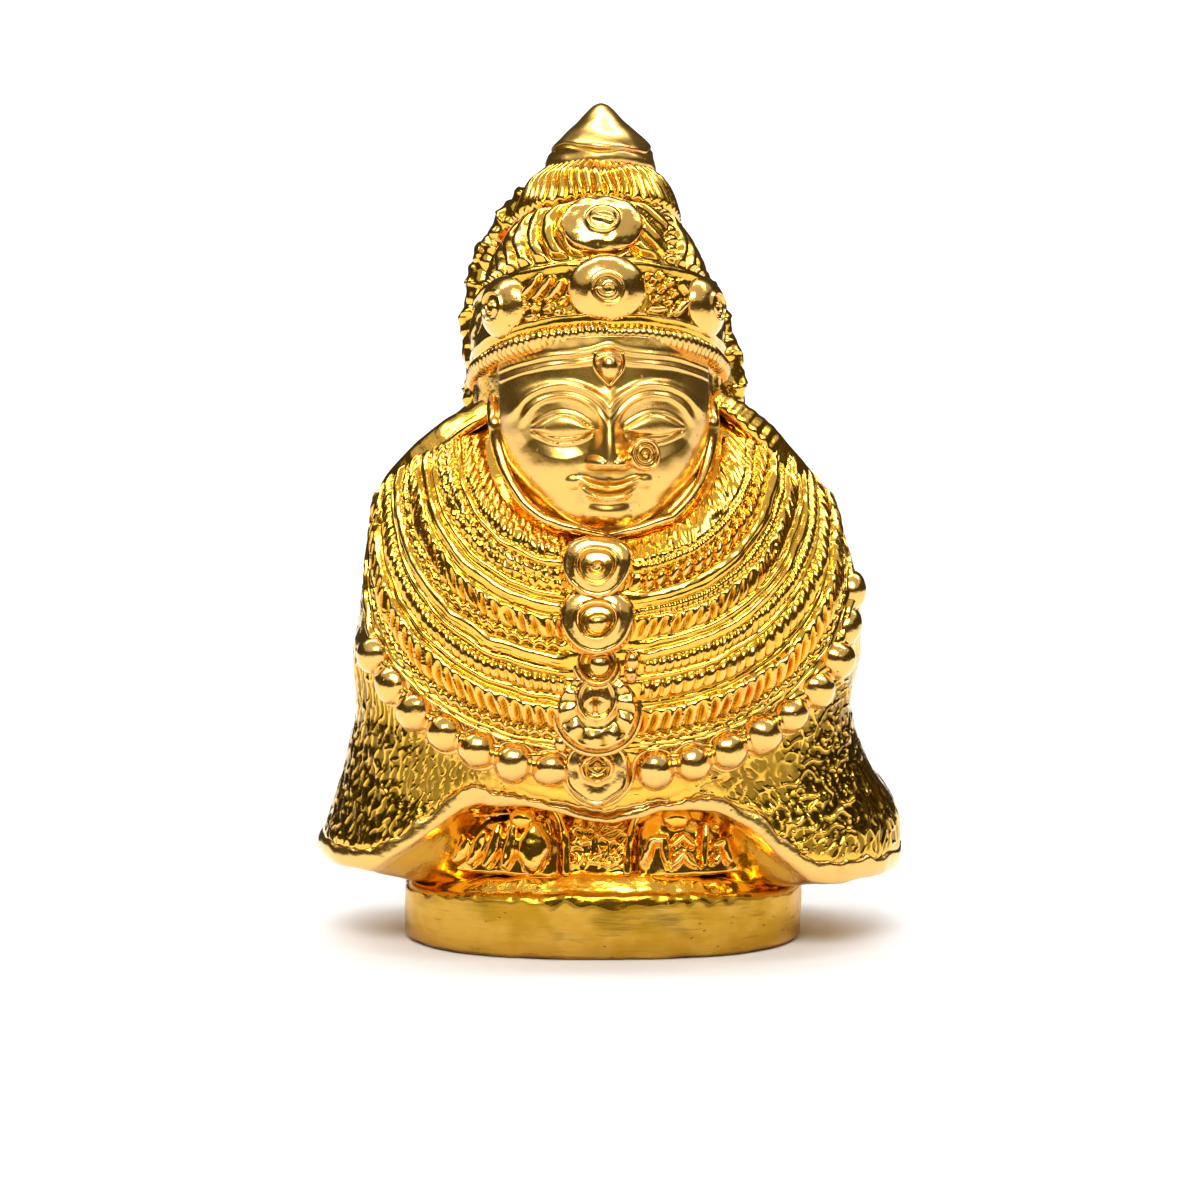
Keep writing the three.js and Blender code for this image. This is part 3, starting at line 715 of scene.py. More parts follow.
def robe_surface(side):
    """Chased cloth outside the garland on one side of the front: the cloak's outline moved out along its
    normals by the net, the grains and the curls, which fade out upwards and backwards. Its back is a chord
    inside the body."""
    columns, rows, top = 250, 180, 24.5
    turn = np.linspace(-83, 8, 900)
    x, y = cloak_outline(np.radians(turn), np.full(turn.shape, 11.0))
    length = np.append(0, np.cumsum(np.hypot(np.diff(x), np.diff(y))))
    angle = np.radians(np.interp(np.linspace(0, length[-1], columns), length, turn))[None, :]
    if side < 0:
        angle = -np.pi - angle
    start_x, _ = cloak_outline(angle, HEM["height"] + 0 * angle)
    base, _ = hem_edge(angle, start_x)
    z = lerp(base - 0.15, top, np.linspace(0, 1, rows)[:, None] ** 1.15)
    x, y = cloak_outline(angle, z)
    y = y + chest_hollow(x, z) * smooth(-np.sin(angle), 0.15, 0.55)
    grid = stack(x, y, z)
    length = np.linspace(0, length[-1], columns)[None, :] * side + 0 * z
    outer = smooth(np.abs(x), 13.2, 15.2) if side < 0 else smooth(np.abs(x), 17.2, 18.6)
    net = net_relief(length, z, 21)
    grains = grain_relief(length, z, 24)
    curls = curl_relief(length, z, 27)
    if side < 0:
        inner = np.maximum(grains, 0.35 * net)
    else:
        plain = ridge(x - 12.2, 2.4) * ridge(z - 13.8, 1.8)
        inner = np.maximum(grains * 0.9, curls) * (1 - 0.85 * plain)
    relief = lerp(inner, net, outer) + 0.03 * wander(length / 1.4, z / 1.4, 29)
    outside = under_garland(x, z)
    relief = relief * smooth(z - base, 0.0, 0.4) * smooth(outside, 1.0, 1.1)
    near = 1 - smooth(np.abs(x), 5.5, 7.5)
    column = np.arange(columns)[None, :]
    fade = (1 - smooth(z, 19.5, 23.8)) * (1 - smooth(column, columns - 75, columns - 12))
    relief = relief * (1 - near) * smooth(column, 2, 20) * fade
    lift = relief + 0.05 - 1.2 * (1 - smooth(outside, 0.86, 0.98))
    lift[:3] -= np.array([[0.3], [0.15], [0.06]])
    lift = lift - 0.35 * smooth(z, top - 3, top)
    lift = lift - 0.9 * (1 - smooth(column, 0, 16)) - 0.9 * smooth(column, columns - 8, columns - 1)
    direction = normals(grid, False)
    direction = direction * np.sign(-direction[:, : columns // 2, 1].mean())
    front = grid + direction * lift[..., None]
    back = grid[:, ::-1][:, ::50] * np.array([0.93, 1, 1]) + np.array([0, 1.6, 0])
    # Painted shade, partly patina: the ground outside the garland darkens to dark olive, fading at the edges.
    ground_shade = 0.75 * smooth(outside, 1.05, 1.3) * smooth(np.abs(x), 6.5, 10.0) * fade
    ground_shade = ground_shade * smooth(z - base, 0.1, 0.9)
    shade = np.clip(wear_and_shade_of(relief, 4, 4, False, 0.1) - ground_shade, -1, 0.6)
    return tube(np.concatenate([front, back], 1), np.concatenate([shade, np.zeros(back.shape[:2])], 1))


def hem_edge(angle, x):
    """Top and lower edge of the hem's roll at an angle round the cloak."""
    front = smooth(-np.sin(angle), 0.15, 0.55)
    hem = hem_height(x, front) + 0.1 * wander(x / 3.0, angle, 31) * front
    thickness = lerp(1.6, 0.65, front * (1 - smooth(np.abs(x), 4.5, 11.0)))
    thickness = thickness * (1 + 0.16 * wander(x / 1.7, angle * 2, 32))
    thickness = thickness + 0.12 * wander(x / 0.7, angle, 33) * front
    return hem + thickness, hem


def cloak_surface():
    """Cove under the hem, the hem's roll and the cloth up to the neck. The cove goes from the recess to the
    hem, straight beside the feet and as an arch over them, where its place is sin(t)^0.7 and its height
    1 - cos(t)^0.7. The roll is a half-round. The cloth has two lines over the hem in front and plain shallow
    strands behind."""
    columns = CLOAK_COLUMNS
    angle = front_angles(columns, 0.35)[None, :]
    front = smooth(-np.sin(angle), 0.15, 0.55)
    x, _ = cloak_outline(angle, HEM["height"] + 0 * angle)
    base, hem = hem_edge(angle, x)
    inner_half_width, inner_back = PLINTH["half_width"] - 0.6, PLINTH["half_depth"] - 0.5
    inner_x, inner_y = rounded(angle, inner_half_width, RECESS["depth"], inner_back, PLINTH["power"])
    outer_x, outer_y = cloak_outline(angle, hem)
    outer_y = outer_y + front * chest_hollow(outer_x, hem)
    cove = np.linspace(1, 0.06, HEM_ROWS[0])[:, None]
    hollow = 1 - smooth(np.abs(outer_x), 9.5, 13.5)
    part = lerp(cove, np.sin(cove * np.pi / 2) ** 0.7, hollow)
    under_z = lerp(hem, RECESS["height"], lerp(cove, 1 - np.cos(cove * np.pi / 2) ** 0.7, hollow))
    under_x, under_y = lerp(outer_x, inner_x, part), lerp(outer_y, inner_y, part)
    roll = np.linspace(-np.pi / 2 * 0.9, np.pi / 2, HEM_ROWS[1])[:, None]
    roll_z = lerp(hem, base, (1 + np.sin(roll)) / 2)
    swell = HEM["roll"] * (1.2 * np.cos(roll) ** 0.5 - 0.05) * np.ones_like(angle)
    roll_x, roll_y = cloak_outline(angle, roll_z, swell)
    roll_y = roll_y + front * chest_hollow(roll_x, roll_z)
    share = np.concatenate([np.linspace(0.01, 0.5, 44), np.linspace(0.52, 1, 22)])[:, None]
    body_z = lerp(base, CLOAK_TOP, share)
    body_x, body_y = cloak_outline(angle, body_z)
    body_y = body_y + front * chest_hollow(body_x, body_z)
    body = stack(body_x, body_y, body_z)
    length = angle * 15
    strands = 1 - np.abs(np.sin(np.pi * (length / 1.3 + 0.5 * wander(length / 3, body_z / 4, 34))))
    above = body_z - base
    relief = 0.1 * strands**2 * (1 - front) * smooth(above, 0.1, 0.8)
    relief = relief * (1 - 0.75 * smooth(body_z, 27, 33)) - 0.1
    near = front * (1 - smooth(np.abs(body_x), 4.2, 7.5))
    lines = 0.42 * ridge(above - 0.75, 0.34) + 0.22 * ridge(above - 1.75, 0.2)
    relief = lerp(relief, lines - 0.1, near * (1 - smooth(above, 2.0, 3.2)))
    shade = np.clip(wear_and_shade_of(relief, 2, 2) - 0.1, -1, 0.35)
    body = body + normals(body) * relief[..., None]
    rings = np.concatenate([stack(under_x, under_y, under_z), stack(roll_x, roll_y, roll_z), body])
    # The cove under the hem gets -0.5, which paints shade there; the hem's roll gets 0.9, rubbed pale.
    wear_and_shade = np.concatenate([np.full((len(cove), columns), -0.5), np.full((len(roll), columns), 0.9), shade])
    return tube(rings, wear_and_shade)


# Necklaces


def chest_depth(x, height):
    """The cloak's front at a place: hollow - d (1 - (x / w)^p)^(1 / p)."""
    half_width, front, _, shift = profile(CLOAK, height)
    part = np.clip(np.abs(x - shift) / half_width, 0, 0.995)
    return chest_hollow(x, height) - front * (1 - part**CLOAK_POWER) ** (1 / CLOAK_POWER)


def row_curve(outward, side, steps):
    """A row from the middle out to the shoulder, evenly spaced: x = w cos(a)^(2 / p), z = top - drop
    sin(a)^(2 / p), with x held inside the cloak."""
    half_width = lerp(*ROWS["half_width"], outward**0.75) + (ROWS["stretch"] * outward if side > 0 else 0)
    top, bottom = lerp(*ROWS["top"], outward**1.4), lerp(*ROWS["bottom"], outward)
    angle = np.linspace(np.pi / 2, 0, 500)
    z = top - (top - bottom) * np.sin(angle) ** (2 / ROWS["power"])
    limit, _, _, shift = profile(CLOAK, z)
    reach = half_width * np.cos(angle) ** (2 / ROWS["power"]) + 1e-6
    x = side * (reach**-14 + (0.985 * limit + side * shift) ** -14) ** (-1 / 14)
    points = stack(x, chest_depth(x, z), z)
    length = np.append(0, np.cumsum(np.linalg.norm(np.diff(points, axis=0), axis=1)))
    at = np.linspace(0, length[-1], steps)
    return np.stack([np.interp(at, length, points[:, k]) for k in range(3)], -1), at


FIRST_ROW = 0.01
# where each row ends as a share of the way out, and the next begins, its kind, relief and pitch along it
ROW_KINDS = {
    "left": [
        (0.105, "granules", 0.42, 0.62), (0.14, "fillet", 0.25, 1), (0.235, "granules", 0.46, 0.7),
        (0.275, "fillet", 0.28, 1), (0.335, "cord", 0.42, 1), (0.44, "teeth", 0.6, 0.95),
        (0.485, "wavy", 0.26, 0.95), (0.555, "cord", 0.5, 1), (0.595, "fillet", 0.24, 1),
        (0.67, "beaded", 0.52, 0.62), (0.705, "fillet", 0.24, 1), (0.83, "teeth", 0.85, 0.85),
        (0.875, "wavy", 0.3, 0.85), (0.925, "double", 0.3, 1), (0.985, "wavy", 0.42, 2.55),
    ],
    "right": [
        (0.11, "hammered", 0.3, 0.6), (0.15, "fine", 0.28, 0.42), (0.225, "beads", 0.5, 0.9),
        (0.3, "cord", 0.45, 1), (0.335, "fine", 0.26, 0.4), (0.43, "teeth", 0.58, 0.85),
        (0.47, "fillet", 0.24, 1), (0.515, "cord", 0.34, 1), (0.58, "beaded", 0.42, 0.55),
        (0.61, "fillet", 0.22, 1), (0.7, "beaded", 0.56, 0.8), (0.725, "fillet", 0.2, 1),
        (0.845, "teeth", 0.85, 0.85), (0.88, "wavy", 0.3, 0.85), (0.92, "double", 0.28, 1),
        (0.985, "wavy", 0.45, 2.55),
    ],
}


def row_relief(kind, across, along, pitch, uneven, seed):
    """Height 0 to 1 of one row: across runs from -1 to 1 over its width, and along is the length in
    millimetres. A cord, the kind without a branch of its own, is half-round with one fine line."""
    body = dome(across) ** 0.85
    turns = along / pitch + 0.12 * uneven
    if kind == "granules":
        lower = across > 0
        cell = turns + 0.5 * lower + 0.25 * wander(along / 1.3, across * 0.4, seed)
        spot = dome(np.minimum(np.hypot(saw(cell), (np.abs(across) - 0.5) / 0.62), 1))
        return body * 0.45 + 0.55 * spot * (0.8 + 0.3 * wander(along / 0.8, across, seed + 1))
    if kind == "hammered":
        bumps = 0.35 + 0.3 * wander(along / 0.55, across * 1.3, seed) + 0.35 * ridge(across - 0.8, 0.2)
        return body**0.5 * bumps
    if kind == "beads":
        return dome(np.minimum(np.hypot(across, saw(turns + 0.16 * across) * 1.08), 1))
    if kind == "beaded":
        return body * (1 - 0.5 * saw(turns + 0.14 * across) ** 2.2)
    if kind == "fine":
        return body * (1 - 0.55 * saw(turns) ** 1.6)
    if kind == "teeth":
        slant = turns + 0.3 * across + 0.12 * wander(along / 2.0, across * 0.3, seed)
        own = 0.85 + 0.3 * wander(np.floor(slant + 0.5) * 0.43, seed * 0.1, seed + 1)
        notch = saw(slant) ** 2.2 * smooth(across, -0.85, 0.1)
        return body * (1 - 0.85 * notch) * own + 0.06 * ridge(across + 0.75, 0.3)
    if kind == "double":
        return np.maximum(ridge(across - 0.5, 0.33), ridge(across + 0.5, 0.33))
    if kind == "wavy":
        return dome(np.clip((across - 0.3 * np.cos(2 * np.pi * turns)) / 0.75, -1, 1)) ** 0.8
    if kind == "fillet":
        return dome(across / 0.85) * (1 + 0.1 * uneven)
    return body * (1 + 0.06 * uneven) - 0.14 * ridge(across - 0.25, 0.14)


def necklace_surface(side_name):
    """Rows from the neck out to the garland over one half of the chest, each a profile across its width
    carried along it, added to the chest along its normals. The back is closed by a chord inside the body."""
    side = -1 if side_name == "left" else 1
    steps, rows = 290, 170
    outward = np.linspace(0.0, 0.995, rows)
    curves = [row_curve(v, side, steps) for v in outward]
    outward = outward[:, None]
    grid = np.array([points for points, _ in curves])
    along = np.array([length for _, length in curves])
    left_over = along[:, -1:] - along
    share = outward + 0.006 * wander(along / 3.0, outward * 3, 41 + side)
    uneven = wander(along / 2.2, outward * 6, 43 + side)
    ends = smooth(left_over, 0.0, 1.2) * smooth(along, 2.2, 3.2)
    relief = np.full(grid.shape[:2], -0.06)
    start = FIRST_ROW
    for i, (end, kind, height, pitch) in enumerate(ROW_KINDS[side_name]):
        across = (share - start) / (end - start) * 2 - 1
        shape = row_relief(kind, np.clip(across, -1, 1), along, pitch, uneven, 60 + i)
        taller = 1.2 * height * (1 + 0.09 * wander(along / 1.3, outward * 9, 80 + i))
        raised = taller * (shape - 0.1) * (0.25 + 0.75 * ends) - 0.04
        relief = np.where(np.abs(across) < 1, raised, relief)
        start = end
    relief = relief + 0.03 * uneven
    direction = normals(grid, False)
    direction = direction * np.sign(-direction[:, :, 1:2].mean())
    lift = relief + 0.22 - 0.9 * (1 - smooth(outward, 0.0, 0.02)) - 0.9 * smooth(outward, 0.975, 0.995)
    lift = lift - 0.8 * (1 - smooth(left_over, 0.0, 0.5))
    shade = wear_and_shade_of(relief, 5, 5, False, 0.22)
    surface = grid + direction * lift[..., None]
    back = grid[:, ::-1][:, :: steps // 4] + np.array([0, 3.0, 0]) * np.ones((rows, 1, 1))
    wear_and_shade = np.concatenate([shade, np.zeros(back.shape[:2])], 1)
    return tube(np.concatenate([surface, back], 1), wear_and_shade)


def surface_point(x, z, lift):
    """A point lifted off the chest along its normal, and the normal."""
    def at(px, pz):
        return np.array([px, float(chest_depth(np.float64(px), np.float64(pz))), pz])
    across = at(x + 0.2, z) - at(x - 0.2, z)
    upward = at(x, z + 0.3) - at(x, z - 0.3)
    normal = unit(np.cross(across, upward))
    return at(x, z) + normal * lift, normal


def garland_path(side, count, extra):
    """Centres of the beads: evenly spaced along the outmost row, then up towards the shoulder."""
    points, _ = row_curve(1.0, side, 120)
    rise = points[-1] + np.array(extra)
    fine = np.vstack([points, lerp(points[-1], rise, np.linspace(0.1, 1, 20)[:, None])])
    length = np.append(0, np.cumsum(np.linalg.norm(np.diff(fine, axis=0), axis=1)))
    at = 3.6 + BEAD_PITCH * np.arange(count)
    return np.stack([np.interp(at, length, fine[:, k]) for k in range(3)], -1)


def collar(place, normal, radius, thickness, columns=30, sides=8):
    """Thin ring lying on the cloth round a bead."""
    out = unit(np.array(normal))
    side = unit(np.cross([0.0, 0.0, 1.0], out))
    up = np.cross(out, side)
    turn = np.arange(columns)[:, None, None] * 2 * np.pi / columns
    small = np.arange(sides)[None, :, None] * 2 * np.pi / sides
    spoke = side * np.cos(turn) + up * np.sin(turn)
    rings = place + spoke * (radius + thickness * np.cos(small)) + out * thickness * np.sin(small)
    return tube(rings, np.full(rings.shape[:2], 0.1), caps=False)


def garland_surface(side, count, extra, size):
    """Half-sunk beads in a chain: a tube whose radius follows sqrt(1 - (0.93 t)^2) over each bead, t from
    -1 to 1."""
    centres = garland_path(side, count, extra)
    line = [surface_point(at[0], at[2], 0.42 - 0.05 * i)[0] for i, at in enumerate(centres)]
    line = np.array([line[0] * 1.5 - line[1] * 0.5, *line, line[-1] * 1.5 - line[-2] * 0.5])

    def radius_at(length, angle):
        turns = length / length.max() * count
        number = np.minimum(np.floor(turns), count - 1)
        bulge = dome(0.93 * (2 * (turns - number) - 1))
        own = 1 + 0.08 * np.sin(number * 2.3 + side) - 0.03 * number * (number > 6)
        radius = size * own * bulge * (1 + 0.02 * wander(length / 0.9, angle, 75 + side))
        # Below 0 in the necks between beads, which paints shade there; the beads themselves lean pale.
        return radius, np.clip(0.5 + wear_and_shade_of(bulge + 0 * angle, 4, 2, True, 0.4), -1, 1)
    return sweep(line, count * 20, 30, radius_at)


def garland_parts(settings):
    """The garland of each side, and a collar round each of its first six beads."""
    parts = []
    for side, count, extra in ((-1, 7, (0.9, 0.8, 6.0)), (1, 9, (-1.0, 0.8, 6.5))):
        parts.append(garland_surface(side, count, extra, settings.bead_radius))
        for at in garland_path(side, count, extra)[:6]:
            place, normal = surface_point(at[0], at[2], 0.1)
            parts.append(collar(place, normal, settings.bead_radius * 1.02, 0.22))
    return parts


# Pendants


def pendant_shapes():
    """Pendants down the middle: height, radius, rim by angle, and relief by share of the radius and
    angle."""
    def basin(ring, middle):
        def height(share, angle):
            flange = 0.95 * np.clip(1 - share**7, 0, 1) ** 0.5 + 0.2 * (1 - share)
            bowl = smooth(ring - share, -0.03, 0.1)
            lip = 0.24 * ridge(share - ring - 0.02, 0.06)
            lower = 0.16 * ridge(share - 0.86, 0.06) * np.clip(0.4 - np.sin(angle), 0, 1)
            floor = 0.42 - 0.2 * dome(np.minimum(share / ring, 1))
            return flange + lip + lower - bowl * floor + middle(share, angle)
        return height

    def spiral(share, angle):
        return 0.3 * ridge(share - 0.12 - 0.06 * (angle / np.pi - 1), 0.06) + 0.25 * ridge(share, 0.08)

    def pearl(share, angle):
        away = np.hypot(share * np.cos(angle) + 0.02, share * np.sin(angle) + 0.08)
        return 0.55 * dome(np.minimum(away / 0.3, 1))

    def ball_middle(share, angle):
        away = np.hypot(share * np.cos(angle) + 0.1, share * np.sin(angle) - 0.02)
        return 0.9 * dome(np.minimum(away / 0.62, 1))

    def petals(share, angle):
        x, z = share * np.cos(angle), share * np.sin(angle)
        eye = np.hypot(x / 0.44, (z - 0.28) / 0.5)
        oval = 0.45 * ridge(eye - 1, 0.16) + 0.3 * dome(np.minimum(eye / 0.8, 1))
        oval = oval - 0.3 * ridge(x - 0.04, 0.05) * (eye < 0.7)
        leaf = (1 - saw(np.arctan2(z - 0.2, x) * 11 / (2 * np.pi))) ** 0.7
        return oval + 0.38 * leaf * dome((share - 0.72) / 0.22) * (eye > 1.2)

    def diamond(share, angle):
        x, z = share * np.cos(angle), share * np.sin(angle) - 0.08
        eye = np.hypot(x / 0.42, z / 0.36)
        return 0.4 * ridge(eye - 1, 0.2) + 0.4 * np.clip(1 - (np.abs(x) / 0.3 + np.abs(z) / 0.2), 0, 1)

    def button(share, angle):
        body = np.where(share > 0.3, 0.85 * np.clip(1 - share**6, 0, 1) ** 0.5, 0.62)
        return body + 0.2 * ridge(share - 0.9, 0.05)

    def round_rim(angle):
        return 1 + 0 * angle

    def bowed(angle):
        return 1 + 0.05 * np.cos(2 * angle) + 0.03 * np.sin(3 * angle)

    def six_sided(angle):
        return 1 - 0.035 * np.cos(6 * angle) + 0.07 * np.clip(-np.sin(angle), 0, 1) ** 4

    return [
        (28.1, 2.45, bowed, basin(0.52, spiral)),
        (24.5, 2.6, bowed, basin(0.5, pearl)),
        (21.5, 1.45, round_rim, lambda s, a: 0.55 * ridge(s - 0.88, 0.14) + ball_middle(s, a)),
        (18.3, 2.9, round_rim, lambda s, a: button(s, a) * 0.7 + petals(s, a)),
        (14.1, 2.4, six_sided, lambda s, a: button(s, a) + diamond(s, a)),
    ]


def pendant_parts():
    """The pendants, leant to face forward, a collar under each of the lower ones, and small beads beside."""
    parts = []
    for z, radius, rim, relief in pendant_shapes():
        place, normal = surface_point(COLUMN_X, z, 0.3)
        normal = unit(lerp(normal, np.array([-0.04, -1.0, 0.2]), 0.85))
        parts.append(disc(place, normal, lambda a, r=radius, f=rim: r * f(a), relief))
        if z < 24:
            parts.append(collar(place - normal * 0.25, normal, radius * 1.04, 0.24, 48, 10))
    beads = ((2.4, 21.8, 0.55), (2.3, 20.9, 0.5), (-2.5, 15.9, 0.5), (-2.0, 16.4, 0.42), (1.9, 16.2, 0.45))
    for x, z, size in beads:
        place, normal = surface_point(COLUMN_X + x, z, 0.3)
        parts.append(ball(place, (size, size, size * 1.3), 16, 10))
    return parts


# Head


def turn_head(x, y, z):
    """Points turned by the head's yaw about the upright axis and moved to its middle."""
    c, s = math.cos(HEAD_YAW), math.sin(HEAD_YAW)
    return stack(x * c - y * s + HEAD_X, x * s + y * c, z)


def turned(points):
    """An array of points turned with the head."""
    return turn_head(points[..., 0], points[..., 1], points[..., 2])


def skull_surface():
    """Head and hair behind the face: superellipse rings with soft upright locks."""
    z = np.linspace(30, 42, 40)[:, None]
    angle = np.arange(140)[None, :] * 2 * np.pi / 140
    half_width, front, back = profile(SKULL, z[:, 0])
    half_width, front, back = half_width[:, None], front[:, None], back[:, None]
    locks = 0.22 * np.abs(np.sin(angle * 17 + 0.35 * np.sin(z * 0.9))) * (np.sin(angle) > -0.4)
    x, y = rounded(angle, half_width + locks, front + locks, back + locks, 2.2)
    return tube(turn_head(x, y, z + 0 * x), wear_and_shade_of(locks + 0 * x, 2, 3))


def face_half_width(z):
    """Half-width of the mask: from the chin's to the temples', by sqrt(1 - (1 - t)^2) to the power 0.92."""
    part = np.clip((z - FACE["bottom"]) / (FACE["middle"] - FACE["bottom"]), 0, 1)
    return lerp(FACE["chin"], FACE["half_width"], np.sqrt(1 - (1 - part) ** 2) ** 0.92)


def face_depth(x, z):
    """Rounded plan lerp(edge, depth, sqrt(1 - (x / w)^2.4)), drawn in round the chin, passing into the
    crown's own plan 0.45 + 9.95 sqrt(1 - (x / 8.75)^2) at the top."""
    part = np.clip(np.abs(x) / (face_half_width(z) + 0.15), 0, 1)
    roundness = (1 - part**2.4) ** 0.5
    chin = 1 - np.clip((32.6 - z) / 2.4, 0, 1) ** 2
    mask = lerp(FACE["edge"], FACE["depth"], roundness * (0.45 + 0.55 * np.sqrt(chin)))
    cap = 0.45 + 9.95 * np.sqrt(np.clip(1 - (x / 8.75) ** 2, 0, 1))
    return lerp(mask, cap, smooth(z, 38.5, 43.4) * (0.35 + 0.65 * smooth(np.abs(x), 1.5, 6.5)))


def brow_height(x):
    """Height of the rope's middle in front: 40.5 + 3.65 sqrt(1 - (x / 8.9)^2)."""
    return 40.5 + 3.65 * np.sqrt(np.clip(1 - (x / 8.9) ** 2, 0, 1))


def hump(x, z, cx, cz, rx, rz, power=1.5):
    """Smooth bump: (1 - d^2)^power inside the ellipse where d < 1."""
    return np.clip(1 - ((x - cx) / rx) ** 2 - ((z - cz) / rz) ** 2, 0, 1) ** power


def face_relief(x, z):
    """Doubled arched brows, large closed almond eyes, small nose, calm smile, round cheeks and chin."""
    across = np.abs(x)
    eye_x = 3.15
    arch = np.hypot((across - eye_x) / 2.75, (z - 37.55) / 2.45)
    brow = 0.34 * ridge(arch - 1.32, 0.1) * smooth(z, 38.0, 39.2)
    fold = 0.24 * ridge(arch - 1.02, 0.075) * smooth(z, 37.6, 38.6)
    socket = -0.25 * hump(across, z, eye_x, 38.0, 2.9, 2.3, 1.0)
    along = np.clip((across - eye_x) / 2.2, -1, 1)
    top, bottom = 37.75 + 0.98 * (1 - along**2), 37.6 - 0.75 * (1 - along**2)
    middle, half = (top + bottom) / 2, np.maximum((top - bottom) / 2, 0.02)
    lid = 0.62 * dome(np.clip(np.hypot((z - middle) / half, along * 0.9), 0, 1)) ** 0.8
    seam = bottom + 0.42 * (1 - along**2)
    within = 1 - smooth(np.abs(across - eye_x), 1.9, 2.2)
    lid = (lid - 0.14 * ridge(z - seam, 0.1)) * within
    lash = 0.16 * (ridge(z - top - 0.12, 0.13) + ridge(z - bottom + 0.12, 0.12)) * within
    nose_width = lerp(1.05, 0.52, smooth(z, 35.4, 38.6))
    nose = lerp(1.5, 0.4, smooth(z, 35.6, 39.6)) * smooth(z, 34.85, 35.35) * np.exp(-((x / nose_width) ** 2))
    nose = nose * (1 - smooth(z, 39.6, 41))
    wings = 0.62 * hump(across, z, 0.98, 35.45, 0.72, 0.6, 1.0)
    smile = 33.42 + 0.13 * across**2
    fade = 1 - smooth(across, 1.5, 2.3)
    upper_lip = 0.42 * ridge(z - smile - 0.34, 0.24) * (1 - 0.25 * ridge(x, 0.25))
    lower_lip = 0.52 * ridge(z - smile + 0.4, 0.31) * (1 - smooth(across, 1.0, 2.0))
    corner = 0.22 * hump(across, z, 2.45, 34.05, 0.7, 0.6)
    groove = -0.2 * ridge(z - smile, 0.09) * fade - 0.12 * ridge(x, 0.2) * hump(x, z, 0, 34.5, 0.6, 0.5)
    cheeks = 0.5 * hump(across, z, 4.0, 34.9, 2.5, 2.4)
    chin = 0.5 * hump(x, z, 0, 31.85, 1.7, 1.1)
    below = brow_height(x) - z - 0.75 + 0.35 * ridge(x, 0.9)
    hair = 0.24 * ridge(below - 0.35, 0.2) + 0.22 * ridge(below - 1.0, 0.18)
    lips = (upper_lip + lower_lip) * fade + hair
    return brow + fold + socket + lid + lash + nose + wings + lips + corner + groove + cheeks + chin


def face_surface():
    """Face mask: x = u times the half-width at each height, depth from a rounded plan plus the features."""
    u = np.linspace(-1, 1, 190)[None, :]
    part = np.linspace(0, 1, 170)[:, None]
    z = lerp(FACE["bottom"], brow_height(u * FACE["half_width"]), part)
    width = face_half_width(z)
    x = u * width
    relief = face_relief(x, z)
    front = turn_head(x, -face_depth(x, z) - relief, z + 0 * x)
    shade = wear_and_shade_of(relief, 6, 6, False, 0.3)
    # Painted highlight: a pale tan patch on each cheek.
    shade = np.clip(shade + 0.25 * hump(np.abs(x), z, 4.2, 34.5, 3.0, 3.2), -1, 1)
    back = turn_head(np.hstack([width[:, -1:] + 0.2, -width[:, :1] - 0.2]), -3.0, z[:, [-1, 0]])
    return tube(np.concatenate([front, back], 1), np.concatenate([shade, np.zeros((len(z), 2))], 1))


def face_rim_surface():
    """Smooth border round the face from temple to temple, meeting in a point under the chin."""
    z = np.concatenate([np.linspace(40.2, 31.2, 44), np.linspace(30.9, 30.1, 6)])
    half = face_half_width(np.maximum(z, FACE["bottom"])) + 0.32
    half = np.where(z < 31.3, half * smooth(z, 29.9, 31.6) ** 0.5, half)
    depth = -lerp(FACE["edge"] + 0.3, 10.1, smooth(37.5 - z, 0, 7.5)) + 3.2 * smooth(z, 37.6, 40.2)
    left, right = np.stack([-half, depth, z], -1), np.stack([half, depth, z], -1)[::-1]

    def radius_at(length, angle):
        away = np.abs(length / length.max() - 0.5)
        radius = lerp(0.38, 0.5, smooth(away, 0.2, 0.36)) * (1 - 0.6 * smooth(away, 0.42, 0.5)) + 0 * angle
        return radius, np.full(radius.shape, 0.1)
    return sweep(turned(np.vstack([left, right])), 240, 14, radius_at)


def face_jewel_parts():
    """Drop jewel in a pointed setting on the forehead and a ringed disc beside the nose."""
    def jewel_at(x, z, lift):
        return turn_head(np.float64(x), -face_depth(np.float64(x), np.float64(z)) - lift, np.float64(z))

    def wire(length, angle):
        return 0.14 + 0 * length * angle, 0 * length * angle
    parts = [ball(jewel_at(0, 42.0, 0.55), (0.62, 0.6, 0.85), 28, 18)]
    for side in (-1, 1):
        line = [
            jewel_at(side * 0.95, 43.0, 0.3), jewel_at(side * 0.95, 41.9, 0.35), jewel_at(0, 40.8, 0.35)]
        parts.append(sweep(line, 24, 8, wire))

    def ringed(share, angle):
        rings = 0.5 * ridge(share - 0.8, 0.2) + 0.38 * ridge(share - 0.42, 0.12)
        return rings + 0.45 * dome(np.minimum(share / 0.24, 1)) + 0.12
    outward = np.array([0.3, -1, 0.05])
    parts.append(disc(jewel_at(2.35, 36.0, 0.35), outward, lambda a: 1.2 + 0 * a, ringed, 24, 48, 1.2))
    return parts


# Crown


def tier(values, angle, outset=0.0, middle=0.0):
    """Tilted ring: x = w cos a, then d sin a leant back by the tilt, turned with the head."""
    height, half_width, half_depth, shift, tilt = values
    lean = np.radians(tilt)
    along = (half_depth + outset) * np.sin(angle)
    x = middle + (half_width + outset) * np.cos(angle)
    return turn_head(x, shift + along * np.cos(lean), height - along * np.sin(lean))


def tier_rows(rows, heights):
    """The five values of a tier at each height, as columns."""
    return (heights[:, None], *[column[:, None] for column in profile(rows, heights)])


